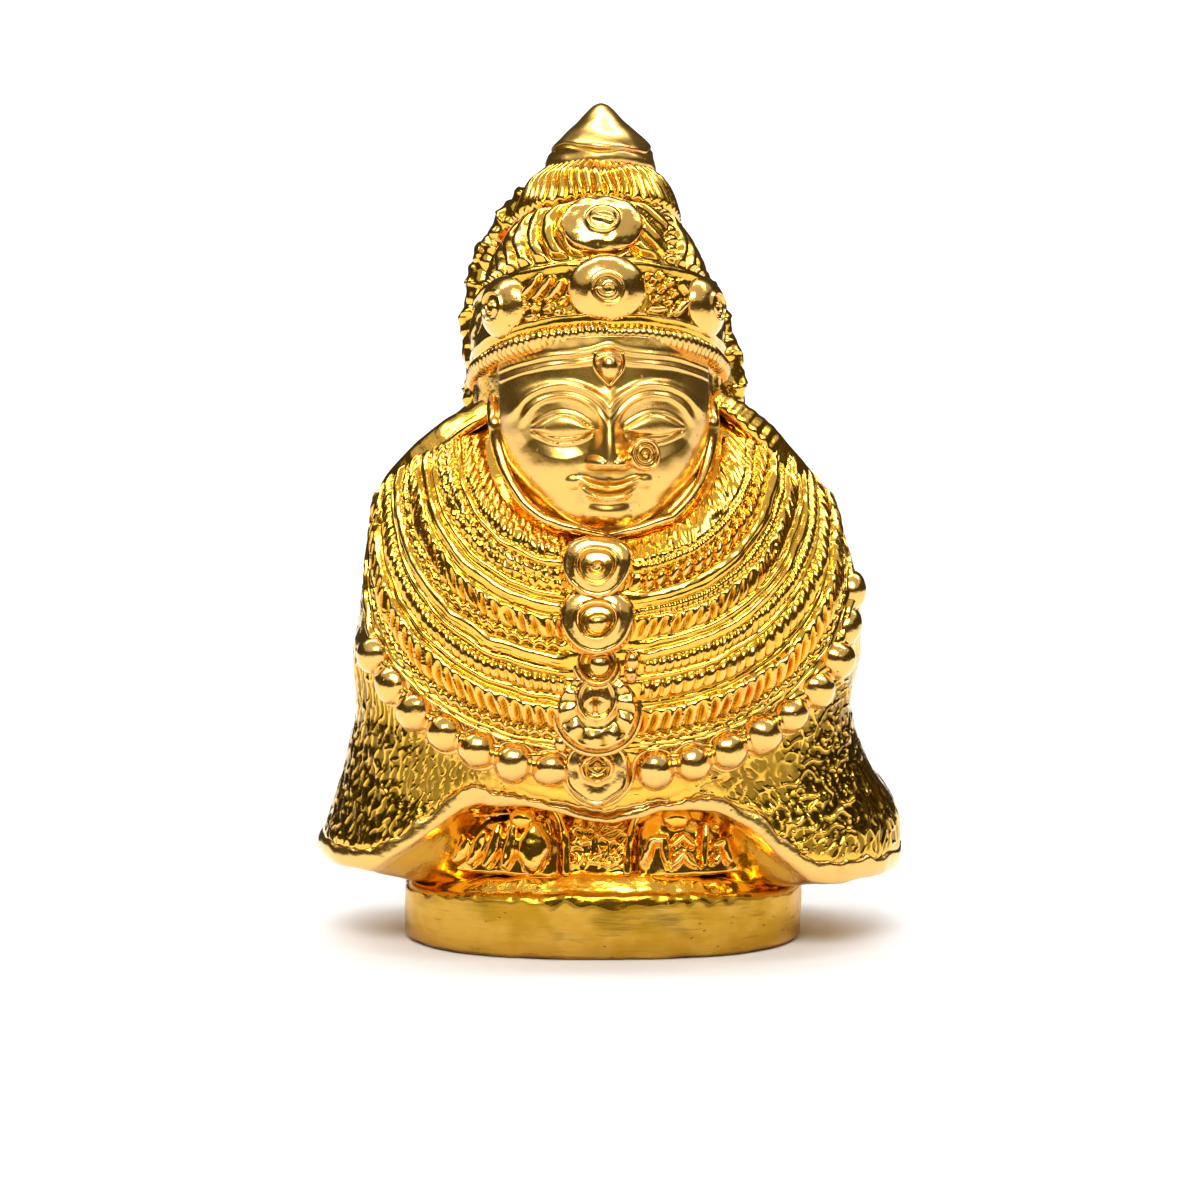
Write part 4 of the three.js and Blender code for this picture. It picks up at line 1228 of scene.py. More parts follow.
# leaves and lattice left of the middle boss and a small flower right of it: from, to, half-width, height
BAND_STROKES = [
    (-6.1, 44.0, -5.0, 45.1, 0.38, 0.6), (-5.2, 43.6, -4.0, 44.8, 0.4, 0.65),
    (-4.3, 43.3, -3.2, 44.4, 0.4, 0.65), (-3.4, 43.0, -3.0, 43.3, 0.34, 0.5),
    (-4.5, 42.6, -4.1, 42.8, 0.34, 0.5), (-5.5, 42.9, -5.2, 43.1, 0.32, 0.5),
    (-6.2, 43.2, -6.1, 43.3, 0.3, 0.45), (-3.7, 42.2, -3.4, 42.3, 0.3, 0.45),
    (-6.0, 42.3, -5.3, 42.3, 0.28, 0.45), (3.2, 44.9, 3.5, 44.6, 0.36, 0.55),
    (4.1, 45.15, 4.1, 44.95, 0.36, 0.55), (4.95, 44.8, 4.7, 44.55, 0.36, 0.55),
    (2.95, 44.0, 3.25, 44.0, 0.36, 0.55), (3.4, 43.2, 3.6, 43.4, 0.34, 0.55),
    (4.6, 43.1, 4.5, 43.35, 0.34, 0.55), (5.25, 43.8, 5.0, 43.9, 0.34, 0.55),
    (4.1, 44.15, 4.15, 44.1, 0.42, 0.7), (5.2, 42.5, 6.2, 43.4, 0.34, 0.55),
    (3.0, 42.4, 4.2, 42.6, 0.3, 0.45), (5.8, 44.9, 6.3, 44.2, 0.32, 0.5),
    (4.6, 42.3, 4.9, 42.7, 0.26, 0.4),
]


def crown_surface():
    """Crown up to the ruffle: fillets above and below the jewelled band, leaf and flower strokes on it, and
    curved ribs on the dome over it, all added along the normals."""
    foot, band, dome_over = (39.6, 41.6, 14), (41.7, 46.0, 56), (46.1, 51.4, 54)
    heights = np.concatenate([np.linspace(*stretch) for stretch in (foot, band, dome_over)])
    angle = front_angles(460, 0.5)[None, :]
    grid = tier(tier_rows(CROWN, heights), angle)
    z = heights[:, None]
    degrees = (np.degrees(angle) + 90 + 180) % 360 - 180
    arc = degrees * math.radians(1) * 9.3
    band_middle = 43.8
    relief = strokes(arc, z, BAND_STROKES)
    behind = smooth(np.abs(degrees), 70, 95)
    plain = 0.3 * dome(np.clip(np.hypot(saw(arc / 2.6) * 1.2, (z - band_middle) / 1.3), 0, 1))
    relief = relief + plain * behind
    relief = relief + 0.25 * ridge(z - 41.9, 0.16) + 0.25 * ridge(z - 45.7, 0.2)
    crumbs = 0.06 * (1 - smooth(np.abs(wander(arc / 1.5, z / 1.4, 90)), 0, 0.4))
    relief = relief + crumbs * ridge(z - band_middle, 1.7) ** 2
    across = degrees * math.radians(1) * lerp(8.8, 6.2, smooth(z, 46, 51.4))
    reach = np.hypot(across, 1.25 * (z - 48.6)) + 0.12 * wander(across / 1.5, z / 1.5, 91)
    arcs = 0.62 * dome(saw(reach / 1.4 + 0.45) / 0.8) * smooth(reach, 2.8, 3.1)
    arcs = arcs * (0.75 + 0.25 * ridge(z - 48.4, 1.6))
    strand = 0.5 * dome(np.clip(np.hypot(saw(z / 0.8), (across - 5.6) / 0.6), 0, 1))
    leaves = 0.6 * dome(saw((across * 0.75 + (z - 48.6) * 0.9) / 1.7) / 0.75) ** 0.8
    right_ribs = np.where(across < 4.9, leaves, np.where(across < 6.3, strand, arcs * 0.8))
    ribs = np.where(across < 0, arcs, right_ribs)
    ribs = np.where(np.abs(degrees) < 100, ribs, arcs * 0.5) * smooth(reach, 2.6, 3.0)
    relief = relief + ribs * (1 - smooth(z, 50.6, 51.3)) * smooth(z, 46.3, 46.9)
    shade = wear_and_shade_of(relief, 4, 4, True, 0.18)
    return tube(grid + normals(grid) * relief[..., None], shade)


def brow_rope_surface():
    """Rope round the crown's foot: a tube along a tilted ring, its radius ribbed along a slant."""
    steps, sides = 760, 14
    turn = front_angles(steps, 0.45)[:, None]
    small = np.arange(sides)[None, :] * 2 * np.pi / sides
    arc = (np.degrees(turn) + 90) * math.radians(1) * 9.6
    uneven = 0.7 + 0.4 * wander(arc / 1.6, small * 0, 94)
    ribs = 1 - 0.26 * saw(arc / 0.5 + small / (2 * np.pi) * 1.4) ** 1.4 * uneven
    radius = lerp(0.56, 0.74, smooth(np.abs(arc), 2.0, 7.0)) * ribs
    radius = radius * (1 + 0.05 * wander(arc / 3, small * 0, 95))
    values = (40.55 + radius * np.sin(small), 8.75, 10.55, -0.6, 20.0)
    rings = tier(values, turn, radius * np.cos(small))
    return tube(rings, wear_and_shade_of(radius, 3, 3, True, 0.06), caps=False)


def ruffle_surface(settings):
    """Fluted cap: rings moved in and out by |cos(n a / 2)|^0.7 for n flutes, bent by uneven fields."""
    heights = np.linspace(51.2, 55.6, 38)
    angle = front_angles(settings.flutes * 12, 0.3)[None, :]
    z = heights[:, None]
    turns = angle * settings.flutes / 2 + 0.35 * np.sin(z * 1.3)
    flute = np.abs(np.cos(turns + 1.1 * wander(angle * 2.2, z / 5, 96)))
    depth = (0.42 + 0.2 * wander(angle * 4, z / 6, 98)) * smooth(z, 51.3, 52.0)
    depth = depth * (1 - 0.6 * smooth(z, 54.8, 55.6))
    outset = depth * (flute**0.7 - 0.75)
    grid = tier(tier_rows(RUFFLE, heights), angle, outset)
    return tube(grid, wear_and_shade_of(outset + 0 * z, 3, 4, True, 0.1))


def finial_surface():
    """Small cone over a fold: rings from the base to the tip, a little uneven."""
    heights = np.concatenate([np.linspace(54.7, 56.7, 32), np.linspace(56.8, 60, 36)])
    angle = np.arange(120)[None, :] * 2 * np.pi / 120
    z = heights[:, None]
    seam = 56.5 + 0.28 * np.sin(angle * 2 + 0.6) + 0.16 * np.sin(angle * 5 + 1.1)
    fold = 0.1 * wander(angle * 0.6, z / 2, 97) - 0.15 * ridge(z - seam, 0.13)
    fold = fold + 0.05 * ridge(z - seam - 0.4, 0.3)
    fold = fold + 0.1 * np.sin(angle * 3 + z * 2) * smooth(58.5 - z, 0, 1)
    grid = tier(tier_rows(FINIAL, heights), angle, fold * smooth(60 - z, 0, 1.5), FINIAL_X)
    # Painted light: the cone above the seam is made pale tan, a painted dark line of shade runs along the
    # seam, and a painted reddish reflection marks one spot.
    spot = ridge(np.sin((angle + np.radians(58)) / 2), 0.22) * ridge(z - 56.35, 0.5)
    shade = 0.9 * smooth(z - seam, 0.1, 0.6) - 1.1 * ridge(z - seam, 0.16) + 0.15 * wander(angle * 2, z, 99)
    return tube(grid, np.where(spot > 0.4, 2 * spot, shade))


def crown_boss_parts():
    """Ringed bosses whose axes stand square on the crown."""
    def round_boss(share, angle):
        body = 1.5 * dome(share * 0.985)
        rings = 0.15 * ridge(share - 0.44, 0.05) - 0.16 * smooth(0.42 - share, -0.02, 0.06)
        turn = (angle / (2 * np.pi)) % 1
        swirl = 0.2 * ridge(share - 0.06 - 0.2 * turn, 0.045) * smooth(turn, 0, 0.1)
        return body + rings + swirl - 0.3

    def oval_boss(share, angle):
        x, z = share * np.cos(angle), share * np.sin(angle)
        eye = np.hypot(x / 0.38, z / 0.42)
        crumbs = 0.07 * wander(x * 2.2, z * 2.2, 92) * smooth(share, 0.5, 0.8)
        body = 0.75 * dome(share * 0.97) ** 0.5 + 0.25 * (1 - share**2) + crumbs
        eye_ring = 0.15 * ridge(eye - 1, 0.14) - 0.14 * smooth(0.9 - eye, 0.0, 0.15)
        return body + eye_ring + 0.16 * ridge(z - 0.35 * x, 0.09) * smooth(0.8 - eye, 0, 0.2) - 0.2

    # degrees from the front, height, radius, relief, stretch of the rim, rise of the axis
    bosses = (
        (0, 43.75, 2.6, round_boss, 0.04, 0.12), (-52, 43.7, 2.3, round_boss, 0.0, 0.1),
        (54, 43.7, 2.25, round_boss, 0.0, 0.1), (-1, 49.0, 2.55, oval_boss, 0.1, 0.62),
    )
    parts = []
    for degrees, height, radius, relief, stretch, rise in bosses:
        half_width, half_depth, shift, tilt = profile(CROWN, np.float64(height))
        lean, angle = math.radians(float(tilt)), math.radians(degrees - 90)
        place = tier((height, half_width, half_depth, shift, tilt), np.float64(angle))
        normal = turn_head(math.cos(angle), math.sin(angle) * math.cos(lean), rise)
        normal = normal - np.array([HEAD_X, 0, 0])

        def rim(a, r=radius, s=stretch):
            return r * (1 + s * np.cos(2 * a))
        parts.append(disc(place, normal, rim, relief, 36, 84))
    return parts


def strand_surface(name, seed):
    """Garland of leaves and small flowers beside the crown: a tube whose radius swells in staggered lumps,
    1 - d^2.5, where d is the distance to the middle of a cell."""
    def radius_at(length, angle):
        cell_x = length / 2.5 + 0.25 * wander(length / 2, angle / 2, seed)
        cell_a = angle / (2 * np.pi) * 4 + 0.5 * (np.floor(cell_x) % 2)
        lump = 1 - np.clip(np.hypot(saw(cell_x + 0.5), saw(cell_a + 0.5)), 0, 1) ** 2.5
        vein = 0.07 * np.sin(length * 5.2 + angle * 2) * lump
        vein = vein + 0.05 * wander(length / 1.2, angle * 0.8, seed + 1)
        radius = 1.18 + 0.3 * lump + vein
        # Painted reddish reflection: the crevices between lumps along part of the left strand pass 1.2.
        spot = 2 * (np.abs(length - 3.6) < 1.1) * (lump < 0.3) if name == "left" else 0
        return radius, np.maximum(wear_and_shade_of(radius, 4, 4, True, 0.25), spot)
    return sweep(STRANDS[name], 170, 46, radius_at)


def band_surface(name):
    """Shoulder band: a flat strap lying on the shoulder, its section a superellipse leaning between up and
    forward, plain on one shoulder and cut into links on the other."""
    path, side, up, length = path_frames(BANDS[name], 100)
    side = side * np.sign(side[:, 2:])
    lean = math.radians(40)
    outward = side * math.cos(lean) + up * math.sin(lean)
    across = up * math.cos(lean) - side * math.sin(lean)
    angle = np.arange(26)[None, :] * 2 * np.pi / 26
    flat_x, flat_y = rounded(angle, 1.15, 0.55, 0.5, 2.8)
    link = 0 * length
    if name == "right":
        link = 0.22 * (1 - saw(length / 0.85)) ** 0.7 * (1 - smooth(length, 4.5, 6.0))
    lift = (flat_y + 0.12 * ridge(flat_x - 0.9, 0.2) * (flat_y > 0)) * (1 + link[:, None] * 1.6)
    ends = (0.55 + 0.45 * dome(2 * length / length[-1] - 1))[:, None]
    path = path + outward * 0.35
    flat = (flat_x * ends)[..., None] * across[:, None]
    rings = path[:, None] + flat + (lift * ends)[..., None] * outward[:, None]
    return tube(rings, wear_and_shade_of(lift, 3, 3, True, 0.15) * 0.5)


# Feet


# toes and ornament of each foot around its middle: from, to, half-width, height
TOES = {
    "left": [
        (2.3, 6.7, 2.35, 8.8, 1.3, 1.5), (0.45, 6.5, 1.1, 9.0, 0.62, 1.1),
        (-0.85, 6.5, 0.1, 8.9, 0.56, 1.0), (-2.0, 6.5, -0.95, 8.5, 0.5, 0.9),
        (-3.0, 6.5, -2.05, 7.9, 0.45, 0.8), (-3.75, 6.4, -3.2, 7.2, 0.36, 0.65),
        (-2.6, 8.9, -2.5, 8.85, 0.3, 0.5), (-1.9, 9.4, -1.8, 9.35, 0.3, 0.5),
        (-1.1, 9.75, -1.0, 9.7, 0.3, 0.5), (-0.3, 10.0, -0.2, 10.0, 0.3, 0.5),
        (3.1, 9.4, 3.4, 8.6, 0.3, 0.5),
    ],
    "right": [
        (-3.9, 6.6, -3.3, 8.2, 0.42, 0.95), (-3.3, 8.2, -2.4, 8.3, 0.4, 0.9),
        (-2.4, 8.3, -2.2, 6.7, 0.42, 0.95), (-1.9, 7.9, -1.2, 8.5, 0.38, 0.85),
        (-1.2, 8.5, -0.5, 7.8, 0.38, 0.85), (-1.9, 6.5, -1.1, 7.3, 0.38, 0.85),
        (-1.1, 7.3, -0.4, 6.5, 0.38, 0.85), (0.25, 9.1, 0.2, 6.5, 0.4, 1.0),
        (0.9, 7.7, 1.6, 8.0, 0.38, 0.8), (1.6, 8.0, 2.0, 6.6, 0.36, 0.8),
        (1.0, 6.6, 1.2, 7.0, 0.42, 0.85), (2.7, 7.4, 3.1, 6.7, 0.4, 0.8), (3.6, 6.9, 3.7, 6.6, 0.36, 0.6),
        (1.0, 9.1, 1.4, 8.9, 0.32, 0.6), (2.0, 8.8, 2.4, 8.4, 0.32, 0.6), (2.9, 8.1, 3.2, 7.8, 0.3, 0.6),
        (0.4, 9.9, 0.7, 9.85, 0.3, 0.5), (1.5, 9.7, 1.8, 9.5, 0.3, 0.5),
    ],
}


def plinth_depth(x):
    """Half-depth of the plinth at a place: d (1 - (x / w)^p)^(1 / p)."""
    power = PLINTH["power"]
    part = np.clip(np.abs(x) / PLINTH["half_width"], 0, 1)
    return PLINTH["half_depth"] * (1 - part**power) ** (1 / power)


def foot_depth(x, part):
    """Foot's front: behind the plinth's edge, and back from its middle by
    fall (1 - sqrt(1 - (0.985 part)^2))."""
    return FOOT["inset"] - plinth_depth(x) + FOOT["fall"] * (1 - np.sqrt(1 - (0.985 * part) ** 2))


def foot_lean(z):
    """How far the feet lie back at a height: slope (z - level)."""
    return FOOT["slope"] * (z - FOOT["level"])


def foot_outline(name, side, angle, part):
    """Arch seen from the front whose peak lies inwards: x = x0 - side w cos a, z = sole + arch sin(a)^0.72
    (1 + 0.3 cos a), with a shallow sole below."""
    x0, half_width = FEET[name]
    arch = np.clip(np.sin(angle), 0, 1) ** 0.72 * (1 + 0.3 * np.cos(angle)) * FOOT["arch"]
    sole = -0.55 * np.clip(-np.sin(angle), 0, 1) ** 0.4
    return x0 - side * half_width * np.cos(angle) * part, FOOT["sole"] + (arch + sole) * part


def foot_surface(name, side):
    """Foot as a low dome over its outline; the toes stand out along its normals."""
    columns, rows = 190, 92
    angle = np.arange(columns)[None, :] * 2 * np.pi / columns
    part = (np.linspace(0.01, 1, rows) ** 0.8)[:, None]
    x, z = foot_outline(name, side, angle, part)
    base = stack(x, foot_depth(x, part) + foot_lean(z), z)
    local = x - FEET[name][0]
    relief = 0.95 * strokes(local, z, TOES[name]) + 0.04 * wander(local / 0.9, z / 0.9, 110)
    out = normals(base)
    out = out * np.sign(-out[rows // 2, :, 1].mean())
    surface = base + out * (relief * smooth(1 - part, 0.0, 0.05))[..., None]
    back = surface[-1:] * np.array([1, 0, 1]) + np.array([0, -3.5, 0])
    # Painted highlight: the feet lean to rubbed tan, most on the toe tops, to brighten them under the hem;
    # painted shade between the toes.
    shade = 0.3 + 0.7 * wear_and_shade_of(relief, 4, 4, True, 0.3)
    return tube(np.concatenate([surface, back]), np.concatenate([shade, shade[-1:]]))


def foot_rim_surface(name, side):
    """Thin rim that follows the foot's arch."""
    angle = np.linspace(-0.1, np.pi + 0.1, 40)
    x, z = foot_outline(name, side, angle, 1.06)
    line = stack(x, foot_depth(x, 0.8) + foot_lean(z), z)

    def radius_at(length, turn):
        return 0.3 + 0.04 * np.sin(length * 3) + 0 * turn, 0.3 + 0 * length * turn
    return sweep(line, 130, 12, radius_at)


def heel_cloth_surface():
    """Chased cloth between the feet over a smooth ledge: a sheet that curves forward at its foot and back at
    its sides, roughened by a fine uneven field."""
    x = np.linspace(-4.4, 3.8, 90)[None, :]
    share = np.linspace(0, 1, 90)[:, None]
    z = lerp(10.4, 4.5, share) + 0.12 * wander(x / 1.5, share * 2, 125)
    y = -7.7 + foot_lean(z) - 0.3 * smooth(share, 0.5, 0.72) - 0.7 * smooth(share, 0.74, 0.95)
    y = y + 1.7 * smooth(np.abs(x + 0.35), 1.8, 3.4)
    base = stack(x, y, z)
    rough = 0.3 * (1 - smooth(np.abs(wander(x / 0.9, z / 0.75, 126)), 0, 0.5))
    rough = rough * (1 - smooth(share, 0.62, 0.72))
    out = normals(base, False)
    out = out * np.sign(-out[..., 1].mean())
    front = base + out * rough[..., None]
    back = base[:, ::-1][:, ::30] * np.array([1, 0, 1]) + np.array([0, -4.5, 0])
    shade = np.concatenate([wear_and_shade_of(rough, 3, 3, False, 0.15), np.zeros(back.shape[:2])], 1)
    return tube(np.concatenate([front, back], 1), shade)


def foot_parts():
    """Each foot with its rim and the ball above its toes, and the cloth between them."""
    parts = []
    for name, side, ball_width in (("left", -1, 0.95), ("right", 1, 1.1)):
        place = (FEET[name][0] - side * 1.6, -7.5, 9.85)
        parts += [foot_surface(name, side), foot_rim_surface(name, side)]
        parts.append(ball(place, (ball_width, 0.95, 0.8), 32, 18, 0.03, 7))
    parts.append(heel_cloth_surface())
    return parts


# Add-on


def colour(name, description, default):
    """A colour that a user may change."""
    return FloatVectorProperty(
        name=name, description=description, default=default, subtype="COLOR", size=3, min=0, max=1)


class FigureSettings(bpy.types.PropertyGroup):
    """Sizes and colours of the figure that a user may change."""

    gold: colour("Gold", "Colour of the polished plate", (0.92, 0.50, 0.03))
    rubbed: colour("Rubbed gold", "Colour where the plate is rubbed pale", (0.82, 0.49, 0.12))
    filed: colour("Filed side", "Colour of the plinth's filed side", (0.70, 0.40, 0.06))
    filed_dark: colour("Filed side, dark", "Darker tone on the plinth's filed side", (0.54, 0.29, 0.02))
    # Painted shade in the hollows of the relief.
    hollow: colour("Hollows", "Colour in the hollows of the relief", (0.50, 0.24, 0.008))
    # Painted shade on the chased cloth's ground, partly patina.
    patina_and_shade: colour("Patina", "Dark olive on the ground of the chased cloth", (0.13, 0.075, 0.004))
    # Copper tint in random patches, and painted reddish reflection at a few spots.
    copper_and_reflection: colour("Copper tint", "Colour of the reddish spots", (0.80, 0.25, 0.04))
    pit: colour("Pits", "Colour in the small casting pits", (0.14, 0.07, 0.015))
    coat: FloatProperty(
        name="Lacquer", description="Weight of the clear lacquer", default=1.0, min=0, max=1,
        subtype="FACTOR")
    polish: FloatProperty(
        name="Polish roughness", description="Roughness of the polished plate", default=0.11, min=0.02,
        max=0.6, subtype="FACTOR")
    satin: FloatProperty(
        name="Side roughness", description="Roughness of the plinth's filed side", default=0.3, min=0.05,
        max=0.8, subtype="FACTOR")
    bead_radius: FloatProperty(
        name="Bead radius (mm)", description="Radius of the garland's beads in millimetres", default=1.45,
        min=1.0, max=2.0)
    flutes: IntProperty(
        name="Flutes", description="Number of flutes round the cap of the crown", default=50, min=12, max=80)


class StageSettings(bpy.types.PropertyGroup):
    """Floor, light and camera."""

    floor: colour("Floor", "Colour of the floor and backdrop", (0.86, 0.86, 0.86))
    distance: FloatProperty(
        name="Camera distance", description="From the camera to the middle of the figure", default=0.2644,
        unit="LENGTH", min=0.1, max=2.0)
    overhead: FloatProperty(
        name="Overhead light", description="Strength of the light above", default=5.5, min=0, max=100,
        unit="POWER")
    backdrop: FloatProperty(
        name="Backdrop light", description="Strength of the light on the backdrop", default=14.0, min=0,
        max=100, unit="POWER")


class PieceOperator:
    """What every piece's operator shares."""

    bl_options = {"REGISTER", "UNDO"}

    def execute(self, context):
        if self.build(context.scene.figure) is None:
            raise RuntimeError(f"{self.bl_label} made nothing")
        return {"FINISHED"}


def give_second_material(piece, material, first, last, size):
    """The quads from one ring to another, in rings of the given size, take a second material."""
    piece.data.materials.append(material)
    index = np.zeros(len(piece.data.polygons), np.int32)
    index[first * size:last * size] = 1
    piece.data.polygons.foreach_set("material_index", index)


class FIGURE_OT_plinth(PieceOperator, bpy.types.Operator):
    """Build the oval plinth with its filed lip"""

    bl_idname = "figure.plinth"
    bl_label = "Plinth"

    def build(self, settings):
        rings, kinds = plinth_surface()
        # The bevel under the lip gets -0.8: painted dark reflection of the room.
        wear_and_shade = np.where(kinds == BEVEL, -0.8, np.where(kinds == TOP, 0.15, 0.3))[:, None] + 0 * rings[..., 0]
        piece = make_piece("oval_plinth", [tube(rings, wear_and_shade)], polished(settings))
        give_second_material(piece, filed(settings), 0, int(np.sum(kinds <= SIDE)), rings.shape[1])
        return piece


class FIGURE_OT_cloak(PieceOperator, bpy.types.Operator):
    """Build the cloak with its rolled hem and chased cloth"""

    bl_idname = "figure.cloak"
    bl_label = "Cloak"

    def build(self, settings):
        make_piece("chased_cloth_left", [robe_surface(-1)], chased(settings))
        make_piece("chased_cloth_right", [robe_surface(1)], chased(settings))
        piece = make_piece("cloak", [cloak_surface()], polished(settings))
        give_second_material(piece, worn_hem(settings), HEM_ROWS[0] - 1, sum(HEM_ROWS), CLOAK_COLUMNS)
        return piece


class FIGURE_OT_necklaces(PieceOperator, bpy.types.Operator):
    """Build the rows of necklaces on both halves of the chest"""

    bl_idname = "figure.necklaces"
    bl_label = "Necklaces"

    def build(self, settings):
        make_piece("necklaces_left", [necklace_surface("left")], polished(settings))
        return make_piece("necklaces_right", [necklace_surface("right")], polished(settings))


class FIGURE_OT_garland(PieceOperator, bpy.types.Operator):
    """Build the garland of big beads"""

    bl_idname = "figure.garland"
    bl_label = "Bead garland"

    def build(self, settings):
        return make_piece("bead_garland", garland_parts(settings), rubbed(settings))


class FIGURE_OT_pendants(PieceOperator, bpy.types.Operator):
    """Build the column of pendants"""

    bl_idname = "figure.pendants"
    bl_label = "Pendants"

    def build(self, settings):
        return make_piece("pendant_column", pendant_parts(), rubbed(settings))


class FIGURE_OT_head(PieceOperator, bpy.types.Operator):
    """Build the head, the face, its border and its jewels"""

    bl_idname = "figure.head"
    bl_label = "Head and face"

    def build(self, settings):
        make_piece("hair", [skull_surface()], polished(settings))
        make_piece("face_jewels", [face_rim_surface(), *face_jewel_parts()], rubbed(settings))
        return make_piece("face", [face_surface()], calm(settings), 0.05)


class FIGURE_OT_crown(PieceOperator, bpy.types.Operator):
    """Build the crown with its band, rope, dome, bosses, ruffle and tip"""

    bl_idname = "figure.crown"
    bl_label = "Crown"

    def build(self, settings):
        make_piece("crown", [crown_surface()], polished(settings))
        make_piece("brow_rope", [brow_rope_surface()], rubbed(settings))
        make_piece("crown_bosses", crown_boss_parts(), rubbed(settings))
        make_piece("crown_ruffle", [ruffle_surface(settings)], polished(settings))
        return make_piece("crown_tip", [finial_surface()], calm(settings))


class FIGURE_OT_strands(PieceOperator, bpy.types.Operator):
    """Build the flower strands beside the crown and the shoulder bands"""

    bl_idname = "figure.strands"
    bl_label = "Strands and shoulder bands"

    def build(self, settings):
        strands = [strand_surface("left", 130), strand_surface("right", 140)]
        make_piece("flower_strands", strands, polished(settings))
        return make_piece("shoulder_bands", [band_surface("left"), band_surface("right")], polished(settings))


class FIGURE_OT_feet(PieceOperator, bpy.types.Operator):
    """Build the feet and what lies between them"""

    bl_idname = "figure.feet"
    bl_label = "Feet"

    def build(self, settings):
        return make_piece("feet", foot_parts(), polished(settings))


class FIGURE_OT_stage(bpy.types.Operator):
    """Build the floor, the light and the camera"""

    bl_idname = "figure.stage"
    bl_label = "Floor, light and camera"
    bl_options = {"REGISTER", "UNDO"}

    def execute(self, context):
        settings = context.scene.figure_stage
        papers = paper_sheets(plain_finish("floor paper", settings.floor, 0.85))
        lamps = [
            lamp("overhead panel", (0, -0.3, 0.52), (0, -0.3, 0), (1.5, 1.1), settings.overhead * 0.5),
            lamp("overhead lamp", (-0.04, -0.4, 0.44), (0, 0, 0.02), (0.34, 0.2), settings.overhead * 0.42),
            lamp("backdrop lamp", (0, 0.12, 0.95), (0, 0.85, 0.25), (1.8, 0.3), settings.backdrop),
        ]
        room_light()
        camera(context, settings.distance)
        return {"FINISHED"}


def sheet(name, y, z, material):
    """Sheet of paper: a level or rising strip whose profile is given."""
    half_width = 0.7
    x = np.array([-half_width, half_width])
    points = stack(x[None, :], np.array(y)[:, None], np.array(z)[:, None]).reshape(-1, 3)
    faces = [(2 * i, 2 * i + 1, 2 * i + 3, 2 * i + 2) for i in range(len(y) - 1)]
    mesh = bpy.data.meshes.new(name)
    mesh.from_pydata(points.tolist(), [], faces)
    mesh.polygons.foreach_set("use_smooth", np.ones(len(faces), bool))
    mesh.materials.append(material)
    paper = bpy.data.objects.new(name, mesh)
    bpy.context.scene.collection.objects.link(paper)
    return paper


def paper_sheets(material):
    """Floor, and a backdrop that curves up behind it and is left out of reflections, so that the dim room
    shows in the metal."""
    turn = np.linspace(0, np.pi / 2, 12)
    start, bend, top = 0.3, 0.35, 1.4
    floor = sheet("floor", [-0.55, 0.0, start], [0.0, 0.0, 0.0], material)
    wall_y = [*(start + bend * np.sin(turn)), start + bend]
    wall_z = [*(bend * (1 - np.cos(turn))), top]
    wall = sheet("backdrop", wall_y, wall_z, material)
    wall.visible_glossy = False
    return floor, wall


def lamp(name, place, target, size, power):
    """Rectangular lamp at a place, facing its target."""
    light = bpy.data.lights.new(name, "AREA")
    light.shape = "RECTANGLE"
    light.size, light.size_y = size
    light.energy = power
    piece = bpy.data.objects.new(name, light)
    piece.location = place
    piece.rotation_euler = (Vector(target) - Vector(place)).to_track_quat("-Z", "Y").to_euler()
    bpy.context.scene.collection.objects.link(piece)
    return piece


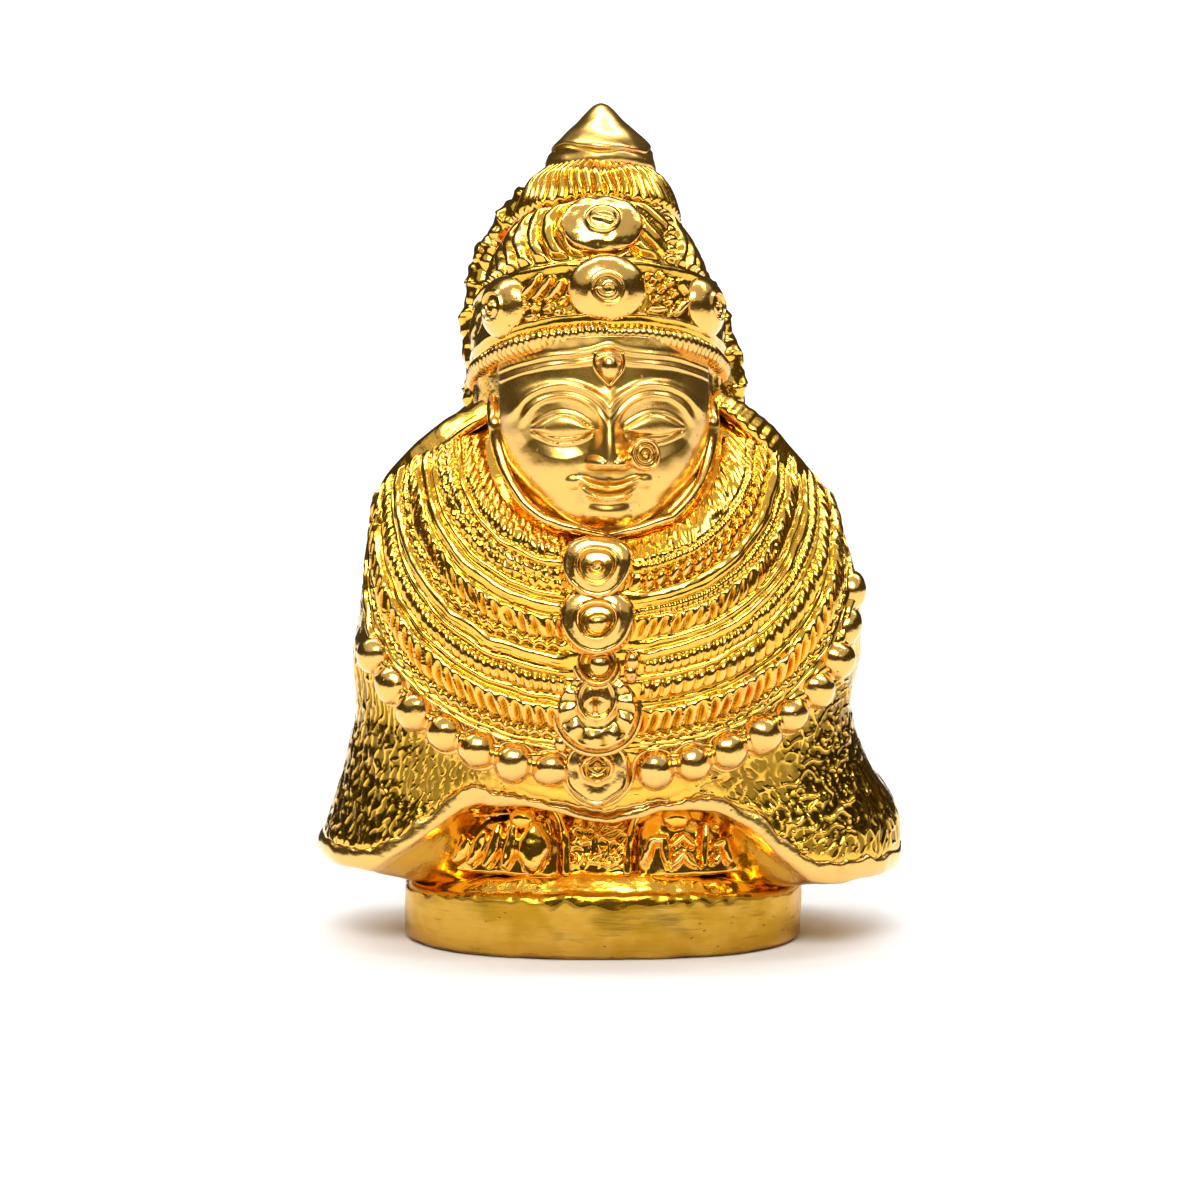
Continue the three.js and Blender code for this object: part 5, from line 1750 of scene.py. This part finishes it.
def room_light():
    """Dim warm room in the reflections, and pale paper where the view passes the floor's edge."""
    world = bpy.data.worlds.new("dim room")
    world.use_nodes = True
    nodes, links = world.node_tree.nodes, world.node_tree.links
    room = nodes["Background"]
    room.inputs["Color"].default_value = ROOM_COLOUR
    paper = nodes.new("ShaderNodeBackground")
    paper.inputs["Color"].default_value = PAPER_COLOUR
    seen, either = nodes.new("ShaderNodeLightPath"), nodes.new("ShaderNodeMixShader")
    links.new(seen.outputs["Is Camera Ray"], either.inputs[0])
    links.new(room.outputs[0], either.inputs[1])
    links.new(paper.outputs[0], either.inputs[2])
    links.new(either.outputs[0], nodes["World Output"].inputs["Surface"])
    bpy.context.scene.world = world


def camera(context, distance):
    """Camera straight in front of the figure, raised and tipped down by the same angle."""
    rise = CAMERA["rise"]
    lens = bpy.data.cameras.new("camera")
    lens.lens = CAMERA["lens"]
    lens.sensor_width = CAMERA["sensor"]
    lens.clip_start, lens.clip_end = 0.01, 10
    back, up = distance * math.cos(rise), distance * math.sin(rise)
    piece = bpy.data.objects.new("camera", lens)
    piece.location = ((CAMERA["x"] + CENTRE[0]) * MM, CENTRE[1] * MM - back, CAMERA["target"] * MM + up)
    piece.rotation_euler = (math.pi / 2 - rise, 0, 0)
    context.scene.collection.objects.link(piece)
    context.scene.camera = piece
    context.scene.view_settings.view_transform = "Standard"


PIECES = (
    FIGURE_OT_plinth, FIGURE_OT_cloak, FIGURE_OT_necklaces, FIGURE_OT_garland, FIGURE_OT_pendants,
    FIGURE_OT_head, FIGURE_OT_crown, FIGURE_OT_strands, FIGURE_OT_feet, FIGURE_OT_stage,
)


class FIGURE_PT_panel(bpy.types.Panel):
    """Lists the figure's pieces and their settings"""

    bl_label = "Goddess figure"
    bl_idname = "FIGURE_PT_panel"
    bl_space_type = "VIEW_3D"
    bl_region_type = "UI"
    bl_category = "Figure"

    def draw(self, context):
        for settings in (context.scene.figure, context.scene.figure_stage):
            for name in settings.bl_rna.properties.keys():
                if name not in ("rna_type", "name"):
                    self.layout.prop(settings, name)
        for piece in PIECES:
            self.layout.operator(piece.bl_idname)


CLASSES = (FigureSettings, StageSettings, *PIECES, FIGURE_PT_panel)


def register():
    for item in CLASSES:
        bpy.utils.register_class(item)
    bpy.types.Scene.figure = PointerProperty(type=FigureSettings)
    bpy.types.Scene.figure_stage = PointerProperty(type=StageSettings)


def unregister():
    del bpy.types.Scene.figure_stage
    del bpy.types.Scene.figure
    for item in reversed(CLASSES):
        bpy.utils.unregister_class(item)


def main():
    register()
    for piece in PIECES:
        group, name = piece.bl_idname.split(".")
        getattr(getattr(bpy.ops, group), name)()


if __name__ == "__main__":
    main()
